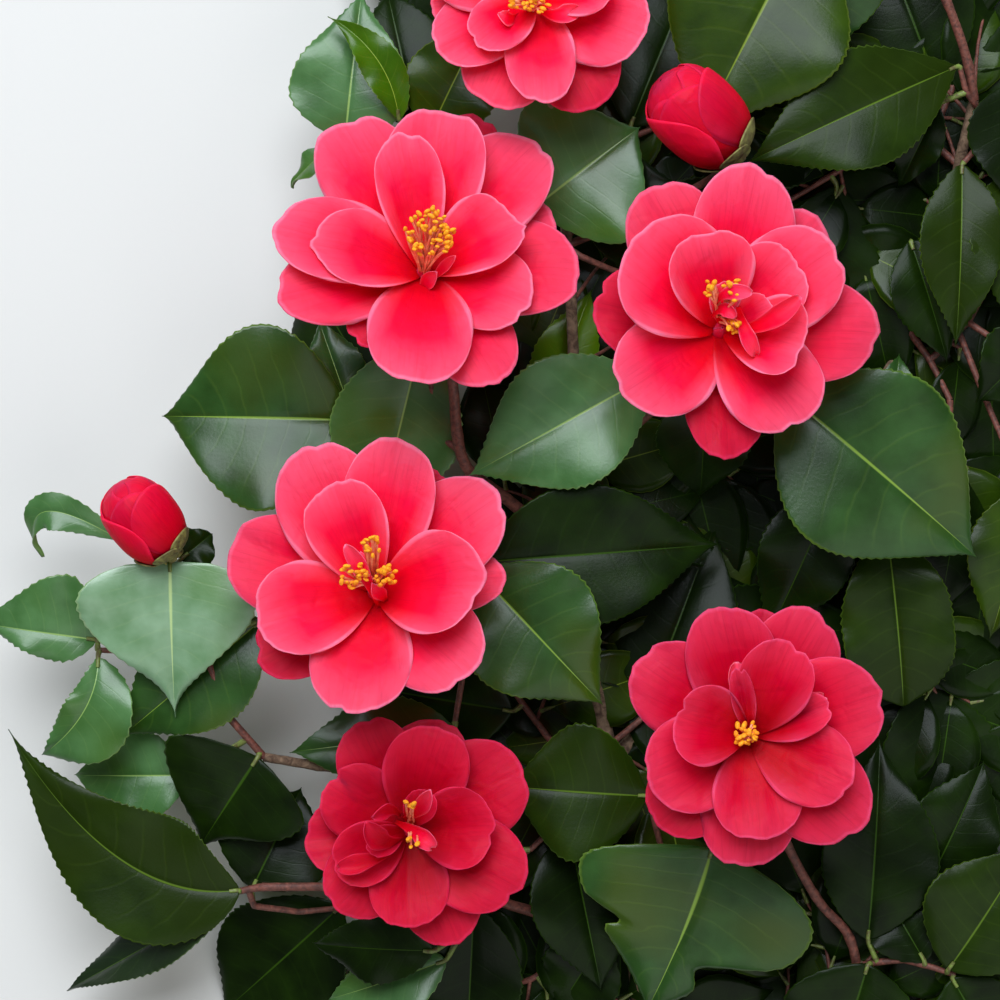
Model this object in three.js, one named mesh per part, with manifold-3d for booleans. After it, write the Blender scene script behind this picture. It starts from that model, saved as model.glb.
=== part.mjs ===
// A cut flowering camellia branch, lying face up: six open blooms, two buds and the leafy shoots
// between them. Millimetres, +Z up, blooms facing up, the cut end of the stem toward -Y.
import * as THREE from 'three';
import { mergeVertices } from 'three/addons/utils/BufferGeometryUtils.js';
import Module from 'manifold-3d';

const wasm = await Module();
wasm.setup();

// Places are written [across, down, height]: across and down in steps of a 1000-step window
// that is seen from straight above, and height in mm over the ground. One step is 0.35 mm
// at 120 mm over the ground, where most of the blooms open.
const eyeHeight = 1200;
const eyeReach = 3086;
const windowMiddle = 500;
const branchShift = new THREE.Vector3(-29, -1, -1.2);

const clearGap = 0.3;
const groundLift = 1.2;
const touchVolume = 1e-6;
const crossVolume = 4;

const limbSides = 6;
const limbRows = 5;
const stemSides = 5;
const twigSides = 3;

const leafThickness = 1.1;
const leafStations = [0.1, 0.4, 0.76];
const fillerStations = [0.22, 0.62];
const leafPeak = 0.42;
const leafArch = 0.07;
const leafFold = 0.12;
const viaShare = 0.6;
const petioleRadius = 0.95;
const rootSink = 0.2;
const sharpTurn = 0.3;
const twigRadius = 1.3;
const stemShares = [1.15, 0.9];
const twigShares = [1, 0.8];

const sprayLeafLength = 78;
const sprayLengths = [0.84, 1.14];
const sprayPetiole = 0.08;
const sprayWidths = [0.54, 0.64];
const spraySpreads = [44, 74];
const sprayDrops = [8, 24];
const sprayEndSpread = 10;
const sprayRoll = 15;
const seedStart = 1000;
const seedMassStep = 37;
const seedSprayStep = 11;
const chanceFactor = 16807;
const chancePrime = 2147483647;

const petalThickness = 1.0;
const petalStations = [0.1, 0.5, 0.86];
const petalWidths = [0.36, 0.93, 0.9];
const petalRoot = 4;
const bowlReach = 75;
const bowlSag = 5;
const bowlSeat = 0.1;
const heartProfile = [[-8, 2.4], [-5, 8], [1, 11], [12, 8]];
const heartSides = 6;
const columnRoot = 3;
const columnSides = 4;
const neckDepth = 7;
const neckRadii = [1.9, 2.4];

// Buds are turned, [share of the length, share of the radius]; the scales wrap the lower third.
const budSides = 10;
const budShape = [[0.04, 0.3], [0.2, 0.8], [0.42, 1], [0.66, 0.92], [0.86, 0.6], [0.97, 0.25], [1, 0]];
const scaleShape = [[0, 0.25], [0.06, 0.62], [0.2, 0.9], [0.36, 1.02]];

const up = new THREE.Vector3(0, 0, 1);

function spot([across, down, height]) {
  const step = (eyeHeight - height) / eyeReach;
  const place = new THREE.Vector3((across - windowMiddle) * step, (windowMiddle - down) * step, height);
  return place.add(branchShift);
}

function stepSize(height) {
  return (eyeHeight - height) / eyeReach;
}

function radians(degrees) {
  return (degrees * Math.PI) / 180;
}

// A closed skin over rings of points; each ring turns counterclockwise about the way it runs.
function skin(rings) {
  const positions = [];
  const index = [];
  const starts = [];
  for (const ring of rings) {
    starts.push(positions.length / 3);
    for (const point of ring) positions.push(point.x, point.y, point.z);
  }
  for (let row = 0; row + 1 < rings.length; row += 1) {
    const near = rings[row].length;
    const far = rings[row + 1].length;
    const count = Math.max(near, far);
    for (let i = 0; i < count; i += 1) {
      const j = (i + 1) % count;
      const a = starts[row] + (near > 1 ? i : 0);
      const b = starts[row] + (near > 1 ? j : 0);
      const c = starts[row + 1] + (far > 1 ? j : 0);
      const d = starts[row + 1] + (far > 1 ? i : 0);
      if (near > 1) index.push(a, b, c);
      if (far > 1) index.push(a, c, d);
    }
  }
  const last = rings.length - 1;
  for (let i = 1; i + 1 < rings[0].length; i += 1) index.push(0, i + 1, i);
  for (let i = 1; i + 1 < rings[last].length; i += 1) {
    index.push(starts[last], starts[last] + i, starts[last] + i + 1);
  }
  const geometry = new THREE.BufferGeometry();
  geometry.setAttribute('position', new THREE.Float32BufferAttribute(positions, 3));
  geometry.setIndex(index);
  return mergeVertices(geometry);
}

function toSolid(geometry) {
  const vertProperties = Float32Array.from(geometry.attributes.position.array);
  const triVerts = Uint32Array.from(geometry.index.array);
  return new wasm.Manifold(new wasm.Mesh({ numProp: 3, vertProperties, triVerts }));
}

// Only the largest outer shell is kept, so sealed hollows are filled and loose scraps go.
function toGeometry(solid) {
  const mesh = solid.getMesh();
  const size = mesh.numProp;
  const points = mesh.vertProperties;
  const faces = mesh.triVerts;
  const owner = Array.from({ length: points.length / size }, (_, i) => i);
  const find = (i) => {
    let top = i;
    while (owner[top] !== top) top = owner[top];
    owner[i] = top;
    return top;
  };
  for (let i = 0; i < mesh.mergeFromVert.length; i += 1) {
    owner[find(mesh.mergeFromVert[i])] = find(mesh.mergeToVert[i]);
  }
  for (let i = 0; i < faces.length; i += 3) {
    owner[find(faces[i])] = find(faces[i + 1]);
    owner[find(faces[i + 1])] = find(faces[i + 2]);
  }
  const corner = (i) => new THREE.Vector3(points[i * size], points[i * size + 1], points[i * size + 2]);
  const volumes = new Map();
  for (let i = 0; i < faces.length; i += 3) {
    const shell = find(faces[i]);
    const part = corner(faces[i]).dot(corner(faces[i + 1]).cross(corner(faces[i + 2])));
    volumes.set(shell, (volumes.get(shell) ?? 0) + part);
  }
  const kept = [...volumes].sort((a, b) => b[1] - a[1])[0][0];
  const positions = [];
  for (let i = 0; i < faces.length; i += 1) {
    const triangle = i - (i % 3);
    if (find(faces[triangle]) === kept) positions.push(...corner(faces[i]).toArray());
  }
  const geometry = new THREE.BufferGeometry();
  geometry.setAttribute('position', new THREE.Float32BufferAttribute(positions, 3));
  const merged = mergeVertices(geometry, 1e-5);
  merged.computeVertexNormals();
  return merged;
}

// A point on a smooth line through the given points, t running from 0 to 1.
function along(points, t) {
  const last = points.length - 1;
  const scaled = Math.min(Math.max(t, 0), 1) * last;
  const i = Math.min(Math.floor(scaled), last - 1);
  const f = scaled - i;
  const p0 = points[Math.max(i - 1, 0)];
  const p1 = points[i];
  const p2 = points[i + 1];
  const p3 = points[Math.min(i + 2, last)];
  const weights = [
    -0.5 * f + f * f - 0.5 * f * f * f,
    1 - 2.5 * f * f + 1.5 * f * f * f,
    0.5 * f + 2 * f * f - 1.5 * f * f * f,
    -0.5 * f * f + 0.5 * f * f * f,
  ];
  const place = new THREE.Vector3();
  [p0, p1, p2, p3].forEach((point, k) => place.addScaledVector(point, weights[k]));
  return place;
}

// A round tapering stem; its rings lie square to the line.
function stemRings(points, radii, sides, rows, extra = 0) {
  const rings = [];
  for (let row = 0; row <= rows; row += 1) {
    const t = row / rows;
    const place = along(points, t);
    const ahead = along(points, Math.min(t + 0.01, 1));
    const behind = along(points, Math.max(t - 0.01, 0));
    const run = ahead.sub(behind).normalize();
    const side = new THREE.Vector3().crossVectors(up, run).normalize();
    const top = new THREE.Vector3().crossVectors(run, side);
    const radius = radii[0] + (radii[1] - radii[0]) * t + extra;
    const shove = row === 0 ? -extra : row === rows ? extra : 0;
    const ring = [];
    for (let i = 0; i < sides; i += 1) {
      const angle = (2 * Math.PI * i) / sides;
      const point = place.clone().addScaledVector(run, shove);
      point.addScaledVector(side, radius * Math.cos(angle));
      point.addScaledVector(top, radius * Math.sin(angle));
      ring.push(point);
    }
    rings.push(ring);
  }
  return rings;
}

// Half the width of a leaf, as a share of its greatest half width.
function leafShare(s, peak) {
  if (s < peak) return Math.sin((Math.PI / 2) * (s / peak)) ** 0.62;
  return Math.cos((Math.PI / 2) * ((s - peak) / (1 - peak))) ** 1.08;
}

// The three points that a leaf's midrib bends through, its width and its tilt.
function leafPlan(leaf, lift) {
  const base = spot(leaf.at);
  const tip = spot([leaf.to[0], leaf.to[1], Math.max(leaf.to[2] + lift, groundLift)]);
  const length = base.distanceTo(tip);
  const run = tip.clone().sub(base).normalize();
  const side = new THREE.Vector3().crossVectors(up, run).normalize();
  const face = new THREE.Vector3().crossVectors(run, side);
  const roll = radians(leaf.roll ?? 0);
  const across = side.multiplyScalar(Math.cos(roll)).addScaledVector(face, Math.sin(roll));
  const control = base.clone().lerp(tip, 0.5);
  if (leaf.via) control.copy(spot([leaf.via[0], leaf.via[1], leaf.via[2] + lift * viaShare]));
  else control.addScaledVector(face, 2 * (leaf.arch ?? leafArch) * length);
  const width = leaf.wide * stepSize((leaf.at[2] + leaf.to[2]) / 2);
  return { base, control, tip, across, width, leaf };
}

function petioleRing(place, run, plan, margin) {
  const side = plan.across.clone().addScaledVector(run, -plan.across.dot(run)).normalize();
  const face = new THREE.Vector3().crossVectors(run, side);
  const radius = petioleRadius + margin;
  return [
    place.clone().addScaledVector(side, radius),
    place.clone().addScaledVector(face, radius),
    place.clone().addScaledVector(side, -radius),
    place.clone().addScaledVector(face, -radius),
  ];
}

function midrib(plan, s) {
  const place = plan.base.clone().multiplyScalar((1 - s) * (1 - s));
  place.addScaledVector(plan.control, 2 * s * (1 - s));
  return place.addScaledVector(plan.tip, s * s);
}

// The petiole runs from its root on the twig to the blade, and the blade on to its tip. Where
// the blade turns back sharply from its petiole, the two are separate skins that cross.
function leafSkins(plan, root, stations, margin = 0) {
  const { leaf, width } = plan;
  const start = midrib(plan, 0.05).sub(plan.base).normalize();
  const reach = plan.base.clone().sub(root).normalize();
  const turnsBack = reach.dot(start) < sharpTurn;
  const seat = plan.base.clone().addScaledVector(start, -rootSink);
  const bend = reach.clone().add(start).normalize();
  const rings = turnsBack
    ? [petioleRing(seat, start, plan, margin)]
    : [petioleRing(root, reach, plan, margin), petioleRing(plan.base, bend, plan, margin)];
  for (const s of stations) {
    const place = midrib(plan, s);
    const run = midrib(plan, Math.min(s + 0.02, 1)).sub(midrib(plan, s - 0.02)).normalize();
    const twist = radians((leaf.twist ?? 0) * (s - 0.5));
    const side = plan.across.clone().addScaledVector(run, -plan.across.dot(run)).normalize();
    const face = new THREE.Vector3().crossVectors(run, side);
    const across = side.clone().multiplyScalar(Math.cos(twist)).addScaledVector(face, Math.sin(twist));
    const out = new THREE.Vector3().crossVectors(run, across);
    const half = (width / 2) * leafShare(s, leaf.peak ?? leafPeak) + margin;
    const fold = leaf.fold ?? leafFold;
    const thick = leafThickness / 2 + margin;
    const left = half * (leaf.left ?? 1);
    const right = half * (leaf.right ?? 1);
    rings.push([
      place.clone().addScaledVector(across, left).addScaledVector(out, left * fold),
      place.clone().addScaledVector(out, thick),
      place.clone().addScaledVector(across, -right).addScaledVector(out, right * fold),
      place.clone().addScaledVector(out, -thick),
    ]);
  }
  rings.push([midrib(plan, 1)]);
  if (!turnsBack) return [rings];
  const end = plan.base.clone().addScaledVector(reach, rootSink);
  const radius = petioleRadius * Math.SQRT2;
  return [rings, stemRings([root, end], [radius, radius], 4, 1, margin)];
}

// Height of a petal bowl over the heart of its bloom; the bowls of one bloom lie in each other.
function bowl(reach, rise) {
  const q = Math.min(reach / bowlReach, 1);
  return rise * (bowlSeat + 1 - (1 - q) * (1 - q)) - bowlSag * q ** 4;
}

function bloomFrame(bloom) {
  const heart = spot(bloom.heart);
  const axis = new THREE.Vector3(Math.tan(radians(bloom.leanRight)), Math.tan(radians(bloom.leanUp)), 1);
  axis.normalize();
  const across = new THREE.Vector3(1, 0, 0);
  across.addScaledVector(axis, -axis.x).normalize();
  const along = new THREE.Vector3().crossVectors(axis, across);
  return { heart, axis, across, along };
}

function onBowl(frame, reach, turn, rise) {
  const place = frame.heart.clone().addScaledVector(frame.across, reach * Math.cos(turn));
  place.addScaledVector(frame.along, reach * Math.sin(turn));
  return place.addScaledVector(frame.axis, bowl(reach, rise));
}

// Where a petal has to point for its tip to show at its turn and reach in the window.
function aimPetal(frame, bloom, petal) {
  const turn = radians(petal.turn);
  const across = bloom.heart[0] + petal.reach * Math.cos(turn);
  const down = bloom.heart[1] - petal.reach * Math.sin(turn);
  let x = petal.reach * stepSize(bloom.heart[2]) * Math.cos(turn);
  let y = petal.reach * stepSize(bloom.heart[2]) * Math.sin(turn);
  for (let i = 0; i < 14; i += 1) {
    const tip = onBowl(frame, Math.hypot(x, y), Math.atan2(y, x), petal.rise);
    const wanted = spot([across, down, tip.z - branchShift.z]);
    x += 0.8 * (wanted.x - tip.x);
    y += 0.8 * (wanted.y - tip.y);
  }
  return { turn: Math.atan2(y, x), reach: Math.hypot(x, y) };
}

function petalRings(frame, bloom, petal) {
  const aim = aimPetal(frame, bloom, petal);
  const width = petal.wide * stepSize(bloom.heart[2] + petal.rise);
  const lift = frame.axis.clone().multiplyScalar(petalThickness / 2);
  const rings = petalStations.map((s, i) => {
    const reach = petalRoot + (aim.reach - petalRoot) * s;
    const half = Math.min((width / 2) * petalWidths[i], 1.1 * reach);
    const middle = onBowl(frame, reach, aim.turn, petal.rise);
    const raise = frame.axis.clone().multiplyScalar(half * (petal.fold ?? 0));
    return [
      onBowl(frame, reach, aim.turn + half / reach, petal.rise).add(raise),
      middle.clone().add(lift),
      onBowl(frame, reach, aim.turn - half / reach, petal.rise).add(raise),
      middle.clone().sub(lift),
    ];
  });
  rings.push([onBowl(frame, aim.reach, aim.turn, petal.rise)]);
  return rings;
}

// Rings of a turned body on an axis, from [distance, radius] pairs; a radius of 0 is a point.
function turnedRings(start, axis, profile, sides) {
  const side = new THREE.Vector3(1, 0, 0).addScaledVector(axis, -axis.x).normalize();
  const top = new THREE.Vector3().crossVectors(axis, side);
  return profile.map(([distance, radius]) => {
    const middle = start.clone().addScaledVector(axis, distance);
    if (radius === 0) return [middle];
    const ring = [];
    for (let i = 0; i < sides; i += 1) {
      const angle = (2 * Math.PI * i) / sides;
      const point = middle.clone().addScaledVector(side, radius * Math.cos(angle));
      ring.push(point.addScaledVector(top, radius * Math.sin(angle)));
    }
    return ring;
  });
}

const barkColor = 0x6b4a36;
const blossomColor = 0xe8325a;
const budColor = 0xc8102e;
const leafColor = 0x2f5a34;

function bark() {
  return new THREE.MeshStandardMaterial({ color: barkColor, roughness: 0.8, metalness: 0 });
}

function blossom() {
  return new THREE.MeshStandardMaterial({ color: blossomColor, roughness: 0.6, metalness: 0 });
}

function budSkin() {
  return new THREE.MeshStandardMaterial({ color: budColor, roughness: 0.45, metalness: 0 });
}

function foliage() {
  return new THREE.MeshStandardMaterial({ color: leafColor, roughness: 0.35, metalness: 0 });
}

// Limbs. Each starts on the middle line of the limb that bears it and is cut clear of its skin.
const limbs = {
  main_stem: {
    path: [[655, 1130, 5.6], [644, 1020, 9], [628, 880, 16], [602, 720, 25], [574, 590, 33], [550, 500, 40]],
    radii: [5, 2.7],
    rows: 10,
  },
  bough_upper_left: {
    on: 'main_stem',
    path: [[562, 545, 36.5], [508, 500, 46], [464, 462, 58], [453, 385, 74], [447, 322, 80]],
    radii: [2.5, 1.9],
  },
  bough_upper_right: {
    on: 'main_stem',
    path: [[552, 508, 39.4], [618, 440, 50], [680, 385, 64], [718, 342, 76]],
    radii: [2.5, 1.9],
  },
  bough_top: {
    on: 'bough_upper_right',
    path: [[585, 474, 44.6], [575, 380, 44], [568, 250, 50], [552, 110, 62], [538, 25, 74]],
    radii: [2.3, 1.8],
  },
  shoot_bud_top: {
    on: 'bough_top',
    path: [[568, 245, 50.3], [640, 215, 52], [700, 185, 58], [741, 157, 71.3]],
    radii: [1.6, 1.4],
  },
  bough_right: {
    on: 'main_stem',
    path: [[610, 765, 22.4], [700, 660, 17], [790, 545, 14], [872, 400, 15], [935, 250, 23], [974, 100, 42]],
    radii: [3, 2],
    rows: 8,
  },
  shoot_right: {
    on: 'bough_right',
    path: [[974, 100, 42], [967, 60, 48], [946, 0, 55], [915, -55, 56]],
    radii: [1.95, 1.6],
  },
  bough_low_right: {
    on: 'main_stem',
    path: [[646, 1040, 8.2], [730, 1035, 13], [810, 1000, 22], [864, 965, 31]],
    radii: [2.8, 2.1],
  },
  shoot_low_right: {
    on: 'bough_low_right',
    path: [[858, 969, 30], [847, 933, 35], [818, 900, 44], [785, 840, 58], [757, 770, 72]],
    radii: [1.9, 1.7],
  },
  bough_middle_left: {
    on: 'main_stem',
    path: [[590, 665, 28.5], [510, 650, 38], [440, 625, 54], [386, 602, 70]],
    radii: [2.4, 1.8],
  },
  bough_lower_left: {
    on: 'main_stem',
    path: [[634, 920, 14], [550, 915, 22], [475, 890, 38], [425, 848, 60]],
    radii: [2.4, 1.8],
  },
  bough_low_left: {
    on: 'bough_lower_left',
    path: [[500, 901, 32.5], [420, 890, 36], [330, 887, 40], [262, 887, 44]],
    radii: [2, 1.6],
  },
  bough_left: {
    on: 'main_stem',
    path: [[617, 810, 19.6], [520, 785, 26], [420, 768, 32], [340, 768, 38], [264, 757, 46]],
    radii: [2.4, 1.8],
  },
};

// Blooms. Petals run from the back of each bloom to its front.
const blooms = {
  bloom_upper_left: {
    on: 'bough_upper_left',
    heart: [424, 277, 94],
    leanRight: 2,
    leanUp: 26,
    column: [22, 6.5],
    petals: [
      { turn: 226, reach: 92, wide: 72, rise: 7 },
      { turn: 72, reach: 171, wide: 84, rise: 8 },
      { turn: 28, reach: 145, wide: 88, rise: 9 },
      { turn: 306, reach: 127, wide: 92, rise: 9.5 },
      { turn: 4, reach: 157, wide: 112, rise: 11 },
      { turn: 187, reach: 147, wide: 92, rise: 13 },
      { turn: 118, reach: 179, wide: 112, rise: 15 },
      { turn: 51, reach: 177, wide: 110, rise: 16 },
      { turn: 346, reach: 108, wide: 92, rise: 18 },
      { turn: 266, reach: 104.5, wide: 106, rise: 19 },
      { turn: 161, reach: 157, wide: 100, rise: 20.5 },
      { turn: 84, reach: 169, wide: 104, rise: 22.5, fold: 0.22 },
      { turn: 163, reach: 111, wide: 86, rise: 25 },
      { turn: 30, reach: 108, wide: 84, rise: 27 },
      { turn: 100, reach: 142, wide: 70, rise: 30, fold: 0.35 },
    ],
  },
  bloom_upper_right: {
    on: 'bough_upper_right',
    heart: [718, 331, 90],
    leanRight: 9,
    leanUp: 7,
    column: [18, 4.5],
    petals: [
      { turn: 167, reach: 126, wide: 98, rise: 7 },
      { turn: 275, reach: 126, wide: 84, rise: 8 },
      { turn: 47, reach: 152, wide: 94, rise: 9 },
      { turn: 0, reach: 160, wide: 108, rise: 11 },
      { turn: 115, reach: 160, wide: 104, rise: 13 },
      { turn: 214, reach: 112, wide: 104, rise: 15 },
      { turn: 314, reach: 126, wide: 106, rise: 16 },
      { turn: 77, reach: 170, wide: 108, rise: 17.5 },
      { turn: 36, reach: 146, wide: 104, rise: 20 },
      { turn: 133, reach: 124, wide: 128, rise: 22.5 },
      { turn: 44, reach: 108, wide: 84, rise: 26 },
      { turn: 102, reach: 99, wide: 94, rise: 29, fold: 0.12 },
      { turn: 350, reach: 88, wide: 86, rise: 33, fold: 0.2 },
      { turn: 25, reach: 60, wide: 40, rise: 44, fold: 0.4 },
      { turn: 82, reach: 50, wide: 34, rise: 50, fold: 0.4 },
    ],
  },
  bloom_middle_left: {
    on: 'bough_middle_left',
    heart: [377, 595, 86],
    leanRight: -8,
    leanUp: 15,
    column: [20, 6],
    petals: [
      { turn: 209, reach: 135, wide: 88, rise: 7 },
      { turn: 66, reach: 139, wide: 80, rise: 8 },
      { turn: 9, reach: 129, wide: 66, rise: 9 },
      { turn: 163, reach: 157, wide: 104, rise: 12 },
      { turn: 40, reach: 158, wide: 104, rise: 14 },
      { turn: 319, reach: 123, wide: 104, rise: 15 },
      { turn: 117, reach: 165, wide: 110, rise: 17 },
      { turn: 258, reach: 119, wide: 104, rise: 18.5 },
      { turn: 81, reach: 158, wide: 96, rise: 21 },
      { turn: 194, reach: 122, wide: 98, rise: 23.5 },
      { turn: 6, reach: 103, wide: 106, rise: 26, fold: 0.12 },
      { turn: 112, reach: 120, wide: 84, rise: 30, fold: 0.2 },
      { turn: 118, reach: 50, wide: 22, rise: 46, fold: 0.3 },
    ],
  },
  bloom_lower_left: {
    on: 'bough_lower_left',
    heart: [408, 828, 76],
    leanRight: 2,
    leanUp: 2,
    column: [12, 4],
    petals: [
      { turn: 294, reach: 124, wide: 84, rise: 7 },
      { turn: 74, reach: 112, wide: 84, rise: 8 },
      { turn: 188, reach: 103, wide: 80, rise: 9.5 },
      { turn: 29, reach: 130, wide: 104, rise: 11 },
      { turn: 229, reach: 108, wide: 84, rise: 13 },
      { turn: 115, reach: 117, wide: 84, rise: 15 },
      { turn: 332, reach: 128, wide: 98, rise: 16 },
      { turn: 152, reach: 93, wide: 80, rise: 18 },
      { turn: 271, reach: 99.5, wide: 82, rise: 20 },
      { turn: 73, reach: 106, wide: 88, rise: 22.5 },
      { turn: 210, reach: 84, wide: 64, rise: 25, fold: 0.2 },
      { turn: 2, reach: 84, wide: 84, rise: 28, fold: 0.15 },
      { turn: 62, reach: 42, wide: 34, rise: 46, fold: 0.4 },
      { turn: 205, reach: 46, wide: 32, rise: 52, fold: 0.4 },
    ],
  },
  bloom_lower_right: {
    on: 'shoot_low_right',
    heart: [749, 735, 88],
    leanRight: 0,
    leanUp: 1,
    column: [10, 4.5],
    petals: [
      { turn: 82, reach: 127, wide: 60, rise: 6.5 },
      { turn: 225, reach: 128, wide: 92, rise: 7.5 },
      { turn: 269, reach: 133, wide: 98, rise: 9 },
      { turn: 60, reach: 140, wide: 96, rise: 10 },
      { turn: 320, reach: 145, wide: 104, rise: 11.5 },
      { turn: 147, reach: 134, wide: 98, rise: 13 },
      { turn: 18, reach: 138, wide: 108, rise: 15 },
      { turn: 103, reach: 131, wide: 94, rise: 17 },
      { turn: 206, reach: 110, wide: 100, rise: 19 },
      { turn: 344, reach: 110, wide: 90, rise: 21.5 },
      { turn: 277, reach: 106, wide: 92, rise: 24 },
      { turn: 22, reach: 87, wide: 46, rise: 27, fold: 0.2 },
      { turn: 66, reach: 101, wide: 78, rise: 30, fold: 0.15 },
      { turn: 166, reach: 74, wide: 82, rise: 35, fold: 0.15 },
      { turn: 100, reach: 70, wide: 36, rise: 40, fold: 0.2 },
    ],
  },
  bloom_top: {
    on: 'bough_top',
    heart: [535, 2, 88],
    leanRight: 0,
    leanUp: 9,
    column: [18, 6],
    petals: [
      { turn: 302, reach: 121, wide: 94, rise: 7 },
      { turn: 120, reach: 140, wide: 96, rise: 8 },
      { turn: 246, reach: 112, wide: 94, rise: 9 },
      { turn: 28, reach: 128, wide: 96, rise: 10.5 },
      { turn: 180, reach: 105, wide: 88, rise: 12 },
      { turn: 92, reach: 146, wide: 100, rise: 13.5 },
      { turn: 343, reach: 115, wide: 98, rise: 15 },
      { turn: 206, reach: 108, wide: 80, rise: 16.5 },
      { turn: 60, reach: 142, wide: 98, rise: 18 },
      { turn: 275, reach: 100, wide: 72, rise: 20 },
      { turn: 150, reach: 122, wide: 98, rise: 22 },
      { turn: 215, reach: 72, wide: 60, rise: 26, fold: 0.2 },
      { turn: 20, reach: 84, wide: 78, rise: 29, fold: 0.15 },
      { turn: 105, reach: 96, wide: 78, rise: 33, fold: 0.25 },
    ],
  },
};

const buds = {
  bud_left: { from: [172, 555, 68], to: [115, 485, 80], radius: 12.8 },
  bud_top: { from: [738, 154, 72], to: [660, 80, 88], radius: 15.6 },
};

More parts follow.
